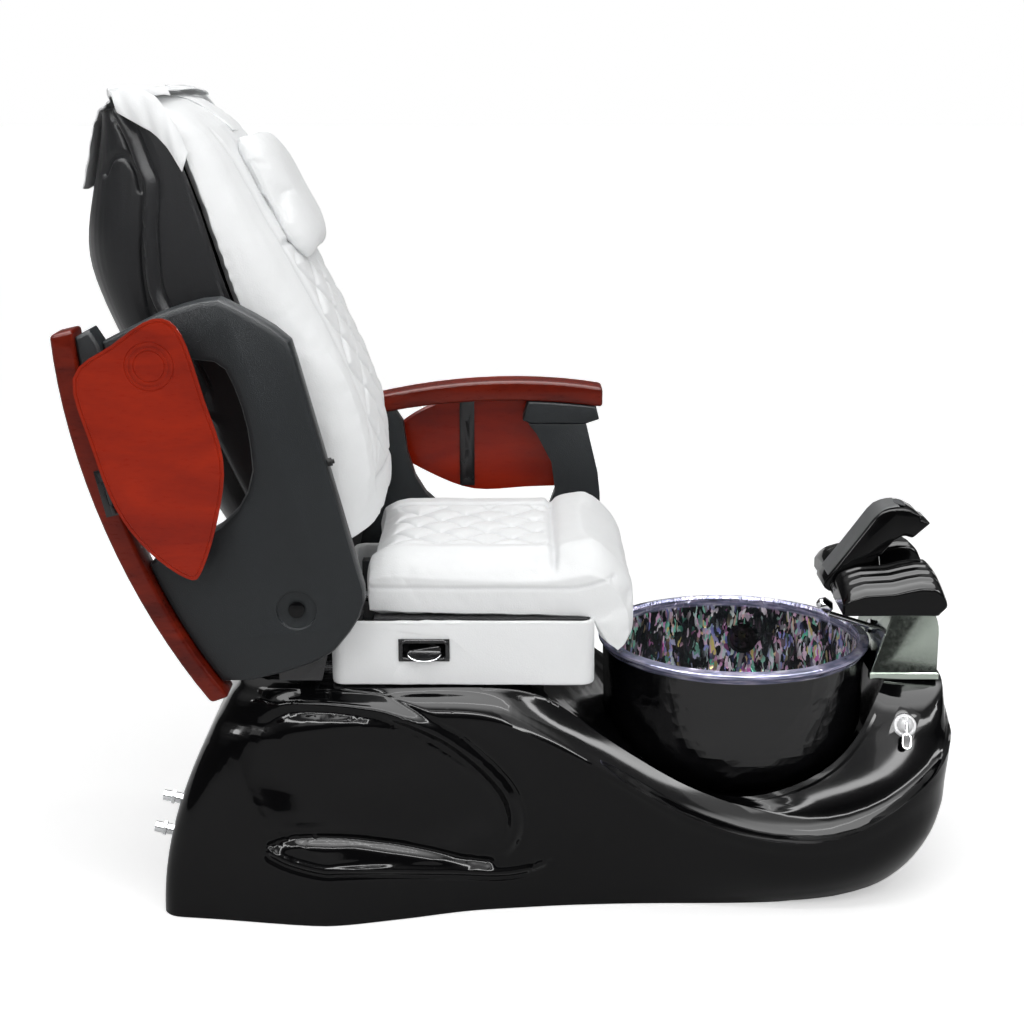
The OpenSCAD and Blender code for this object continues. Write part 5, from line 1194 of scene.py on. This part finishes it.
dress(foot_bed, FINISH["gloss_black"], body="base")

# %% [markdown]
# The support beam is one moulding with a satin strip let into its top face and a thin line round
# its side. Its tip carries an oval of fine mesh where the heel rests. The strip and the mesh are
# their own pieces, laid a hair proud of the beam.

# %% Footrest support
beam = copy_solid("footrest_support", "support_beam")
outer_edges(beam, 0.044, 0.0004, (0.596, 0.543), 0.009)
bpy.ops.mesh.bevel(offset=0.0042, segments=3, profile=0.5, clamp_overlap=True)
bpy.ops.object.mode_set(mode="OBJECT")
smooth(beam, 30)
dress(beam, FINISH["gloss_black"], "footrest_support")

BEAM_TOP = curve_through([(0.584, 0.556), (0.600, 0.5775), (0.628, 0.6145), (0.650, 0.645), (0.668, 0.6700), (0.684, 0.684),
                          (0.700, 0.6895), (0.716, 0.691), (0.730, 0.688)], step=6)


def laid_on_beam(name, first, last, half, thickness, lift, oval=False):
    """A strip on the beam's top face, from share first to share last of its run."""
    bpy.ops.object.select_all(action="DESELECT")
    bpy.ops.mesh.primitive_grid_add(x_subdivisions=40, y_subdivisions=12, size=2)
    obj = bpy.context.object
    obj.name = name
    places = []
    run = np.linspace(0, 1, len(BEAM_TOP))
    for a, b, _ in points_of(obj):
        if oval:
            a, b = a * math.sqrt(1 - b * b / 2), b * math.sqrt(1 - a * a / 2)
        share = first + (last - first) * (a + 1) / 2
        x, z = np.interp(share, run, BEAM_TOP[:, 0]), np.interp(share, run, BEAM_TOP[:, 1])
        dx = np.interp(share + 0.01, run, BEAM_TOP[:, 0]) - np.interp(share - 0.01, run, BEAM_TOP[:, 0])
        dz = np.interp(share + 0.01, run, BEAM_TOP[:, 1]) - np.interp(share - 0.01, run, BEAM_TOP[:, 1])
        size = math.hypot(dx, dz)
        places.append((x - dz / size * lift, b * half, z + dx / size * lift))
    move_points(obj, places)
    pick(obj)
    bpy.ops.object.mode_set(mode="EDIT")
    bpy.ops.mesh.select_all(action="SELECT")
    bpy.ops.mesh.normals_make_consistent(inside=False)
    bpy.ops.object.mode_set(mode="OBJECT")
    apply(obj, "SOLIDIFY", thickness=thickness, offset=0.0)
    apply(obj, "BEVEL", width=0.0004, segments=2, limit_method="ANGLE", angle_limit=math.radians(50))
    return smooth(obj, 40)


strip = laid_on_beam("satin_strip", 0.04, 0.86, 0.036, 0.0012, 0.0004)
dress(strip, FINISH["satin_grey"], body="footrest_support")
heel = laid_on_beam("heel_mesh", 0.83, 0.995, 0.026, 0.0016, 0.0012, oval=True)
dress(heel, FINISH["fine_mesh"], body="footrest_support")

# %% Pedestal
soft_edges("pedestal", "pedestal_cover", 0.0022, FINISH["pedestal_paint"], segments=3, angle=40)

# %% [markdown]
# ## Seat box, pocket and slide lever
# The seat box is board covered with leather, so its faces are nearly flat, its corners are round
# and it puckers a little where the leather is cut for the lever. The lever is a D-shaped paddle
# with a bright edge. A thin black rim covers the joint between the pocket and the leather.

# %% Seat box
apron = copy_solid("seat_apron", "seat_box")
apply(apron, "BEVEL", width=0.004, segments=3, limit_method="ANGLE", angle_limit=math.radians(60))
refine(apron, 0.014, lambda place, normal: True, passes=6)
at = points_of(apron)
out = normals_of(apron)
pocket = np.hypot((at[:, 0] + 0.153) / 0.050, (at[:, 2] - 0.490) / 0.026)
angle = np.arctan2(at[:, 2] - 0.490, at[:, 0] + 0.153)
near = (at[:, 1] < -0.25) * ease((3.2 - pocket) / 2.0) * ease((pocket - 1.05) / 0.3)
press = crumple(at, 0.11, 0.0016, 7) + near * 0.0012 * np.sin(angle * 9 + 1.0)
move_points(apron, at + out * press[:, None])
mark_seam_shade(apron, np.zeros(len(at)))
smooth(apron, 50)
dress(apron, FINISH["white_leather"], "seat_apron")


# %% Welt and lever
def tube_along(name, places, radius, closed=False, squash=(1, 1, 1)):
    """A round tube along a smooth run of points, turned into a mesh."""
    data = bpy.data.curves.new(name, "CURVE")
    data.dimensions = "3D"
    spline = data.splines.new("POLY")
    spline.points.add(len(places) - 1)
    for point, place_at in zip(spline.points, places):
        point.co = (*place_at, 1)
    spline.use_cyclic_u = closed
    data.bevel_depth = radius
    data.bevel_resolution = 3
    data.use_fill_caps = not closed
    obj = bpy.data.objects.new(name, data)
    bpy.context.collection.objects.link(obj)
    pick(obj)
    bpy.ops.object.convert(target="MESH")
    obj = bpy.context.object
    bpy.ops.object.mode_set(mode="EDIT")
    bpy.ops.mesh.select_all(action="SELECT")
    bpy.ops.mesh.remove_doubles(threshold=0.00001)
    bpy.ops.mesh.normals_make_consistent(inside=False)
    bpy.ops.object.mode_set(mode="OBJECT")
    return smooth(obj, 60)


def round_rectangle(half_x, half_z, radius, steps=8):
    """Points round a rectangle with round corners."""
    corners = ((1, 1, 0), (-1, 1, 90), (-1, -1, 180), (1, -1, 270))
    return [(sx * (half_x - radius) + radius * math.cos(math.radians(turn + 90 * k / steps)),
             sz * (half_z - radius) + radius * math.sin(math.radians(turn + 90 * k / steps)))
            for sx, sz, turn in corners for k in range(steps + 1)]


welt = tube_along("pocket_welt", [(-0.1535 + a, -0.2685, 0.491 + b) for a, b in round_rectangle(0.0405, 0.0172, 0.011)],
                  0.0032, closed=True)
dress(welt, FINISH["black_plastic"], body="seat")


def flat_plate(name, outline, thickness, edge):
    """A plate with this outline, extruded along y and rounded over at its edge."""
    bpy.ops.object.select_all(action="DESELECT")
    bpy.ops.mesh.primitive_circle_add(vertices=len(outline), radius=1, fill_type="NGON")
    obj = bpy.context.object
    obj.name = name
    move_points(obj, [(a, 0, b) for a, b in outline])
    pick(obj)
    bpy.ops.object.mode_set(mode="EDIT")
    bpy.ops.mesh.select_all(action="SELECT")
    bpy.ops.mesh.extrude_region_move(TRANSFORM_OT_translate={"value": (0, thickness, 0)})
    bpy.ops.mesh.select_all(action="SELECT")
    bpy.ops.mesh.normals_make_consistent(inside=False)
    bpy.ops.object.mode_set(mode="OBJECT")
    apply(obj, "BEVEL", width=edge, segments=3, limit_method="ANGLE", angle_limit=math.radians(50))
    return smooth(obj, 35)


D_OUTLINE = [(0.029, 0.003), (0.027, 0.0065), (-0.026, 0.0075), (-0.030, 0.004)] + \
            [(0.030 * math.cos(math.radians(k)) - 0.001, 0.003 + 0.0145 * math.sin(math.radians(k))) for k in range(190, 351, 10)]
paddle = flat_plate("lever_paddle", D_OUTLINE, 0.007, 0.0022)
at = points_of(paddle) + np.array([-0.152, -0.2755, 0.4845])
at[:, 1] += 0.25 * (at[:, 2] - 0.486)
move_points(paddle, at)
dress(paddle, FINISH["black_plastic"], body="slide_lever")
rim_places = [(a * 0.97 - 0.152, -0.2762 + 0.25 * (b - 0.0015), 0.4845 + b * 0.97) for a, b in D_OUTLINE[3:]]
trim = tube_along("lever_trim", rim_places, 0.0011)
dress(trim, FINISH["chrome"], body="slide_lever")
stem = soft_edges("slide_lever", "lever_shaft", 0.0006, FINISH["black_plastic"], segments=2)

# %% [markdown]
# ## Water controls
# The mixer's handle is a black paddle in a chrome frame on a short stem, over a white disc. It is
# modelled flat at the origin and then set down with the mixer's own lean.

# %% Mixer handle
MIXER = (Matrix.Translation((0.713, -0.176, 0.317)) @ Matrix.Rotation(math.radians(5), 4, "Y")
         @ Matrix.Rotation(math.radians(57), 4, "X"))


def set_on_mixer(obj):
    move_points(obj, [MIXER @ Vector(p) for p in points_of(obj)])
    return obj


frame_outline = [(a, b - 0.033) for a, b in round_rectangle(0.0072, 0.0135, 0.0068)]
plate = flat_plate("mixer_paddle", frame_outline, 0.004, 0.0012)
move_points(plate, [(x, z, 0.0125 + y) for x, y, z in points_of(plate)])
pick(plate)
bpy.ops.object.mode_set(mode="EDIT")
bpy.ops.mesh.select_all(action="SELECT")
bpy.ops.mesh.normals_make_consistent(inside=False)
bpy.ops.object.mode_set(mode="OBJECT")
dress(set_on_mixer(plate), FINISH["black_plastic"], body="mixer_lever")
loop = tube_along("mixer_frame", [(a, b, 0.0155) for a, b in frame_outline], 0.0017, closed=True)
dress(set_on_mixer(loop), FINISH["chrome"], body="mixer_lever")
stem_line = curve_through([(0, 0.001, 0.0142), (0.0002, -0.008, 0.0152), (0, -0.016, 0.0150), (0, -0.022, 0.0148)])
stem = tube_along("mixer_stem", stem_line, 0.0024)
dress(set_on_mixer(stem), FINISH["chrome"], "mixer_lever")
dome = copy_solid("mixer_dome", "mixer_cap", flat=False)
smooth(dome, 40)
dress(dome, FINISH["white_plastic"], "mixer_dome")

# %% Inlet threads
threads = copy_solid("water_inlets", "threaded_stubs")
smooth(threads, 40)
dress(threads, FINISH["threaded_chrome"], "water_inlets")

# %% [markdown]
# ## Studio
# A pale floor that keeps the chair's soft shadow, a white world for the background and for
# reflections, and a few lamps. Black gloss shows only what it mirrors: a bright area overhead gives
# the front deck its grey sheen, and a narrow bright band draws lines along the lips and beads. Both
# are only in what gloss mirrors, so they don't light the leather.

# %% Studio
bpy.context.scene.view_settings.view_transform = "Standard"
bpy.ops.object.select_all(action="DESELECT")
bpy.ops.mesh.primitive_plane_add(size=60, location=(0, 10, -0.001))
floor = bpy.context.object
floor.name = "studio_floor"
floor_material, tree, shader = finish_of("studio_floor", roughness=0.9, specular_ior_level=0.1)
tree.links.new(use(tree, drift, Color=(0.93, 0.93, 0.93, 1), Amount=0.01, Size=0.8)["Color"], shader.inputs["Base Color"])
shader.inputs["Emission Color"].default_value = (1, 1, 1, 1)
path = add(tree, "LightPath").outputs
tree.links.new(math_node(tree, "MULTIPLY", path["Is Camera Ray"], 0.45), shader.inputs["Emission Strength"])
floor.data.materials.append(floor_material)

world = bpy.data.worlds.new("studio")
bpy.context.scene.world = world
world.use_nodes = True
sky = world.node_tree
sky.nodes.clear()
path = add(sky, "LightPath").outputs
facing = add(sky, "SeparateXYZ", {0: add(sky, "TexCoord").outputs["Generated"]}).outputs
height = facing[2]
low_gloss = add(sky, "MapRange", {0: height, 1: 0.22, 2: 0.65, 3: 0.05, 4: 0.8}).outputs[0]
BAND_LIGHT, PANEL_LIGHT = 26.0, 10.0


def soft_step(low, high, start, end):
    """A smooth step over the height above the horizon."""
    return add(sky, "MapRange", {0: height, 1: low, 2: high, 3: start, 4: end}, interpolation_type="SMOOTHSTEP").outputs[0]


band_low, band_high = soft_step(0.50, 0.53, 0.0, 1.0), soft_step(0.57, 0.60, 1.0, 0.0)
near_side = add(sky, "MapRange", {0: facing[1], 1: -0.05, 2: -0.20, 3: 0.0, 4: BAND_LIGHT}).outputs[0]
band = math_node(sky, "MULTIPLY", math_node(sky, "MULTIPLY", band_low, band_high), near_side)
panel = soft_step(0.72, 0.86, 0.0, PANEL_LIGHT)
gloss = math_node(sky, "ADD", math_node(sky, "ADD", low_gloss, band), panel)
plain = math_node(sky, "MAXIMUM", path["Is Camera Ray"], path["Is Transmission Ray"])
diffuse = math_node(sky, "MULTIPLY", math_node(sky, "SUBTRACT", 1.0, path["Is Glossy Ray"]), 0.51)
seen = math_node(sky, "MULTIPLY_ADD", gloss, path["Is Glossy Ray"], diffuse)
strength = math_node(sky, "MAXIMUM", seen, plain)
background = add(sky, "Background", {"Color": (1, 1, 1, 1), "Strength": strength})
add(sky, "OutputWorld", {"Surface": background.outputs[0]})


def soft_lamp(name, location, target, size, power):
    """A rectangular lamp that points at a target."""
    bpy.ops.object.light_add(type="AREA", location=location)
    lamp = bpy.context.object
    lamp.name = name
    lamp.data.shape = "RECTANGLE"
    lamp.data.size, lamp.data.size_y = size
    lamp.data.energy = power
    lamp.rotation_euler = (Vector(target) - Vector(location)).to_track_quat("-Z", "Y").to_euler()
    return lamp


soft_lamp("overhead_lamp", (0.3, -0.4, 3.6), (0, 0, 0.5), (2.6, 2.6), 13)
soft_lamp("deck_box", (1.75, -2.15, 2.6), (0.6, 0, 0.5), (1.3, 1.3), 13)
soft_lamp("left_box", (-2.2, -3.4, 2.4), (0, 0, 0.7), (1.4, 1.4), 12)
soft_lamp("high_strip", (0.1, -1.25, 2.9), (0.1, -0.3, 0.3), (2.6, 0.10), 12)
soft_lamp("low_strip", (-0.2, -2.2, 2.1), (0.0, -0.3, 0.3), (2.2, 0.06), 6)
print("studio ready")
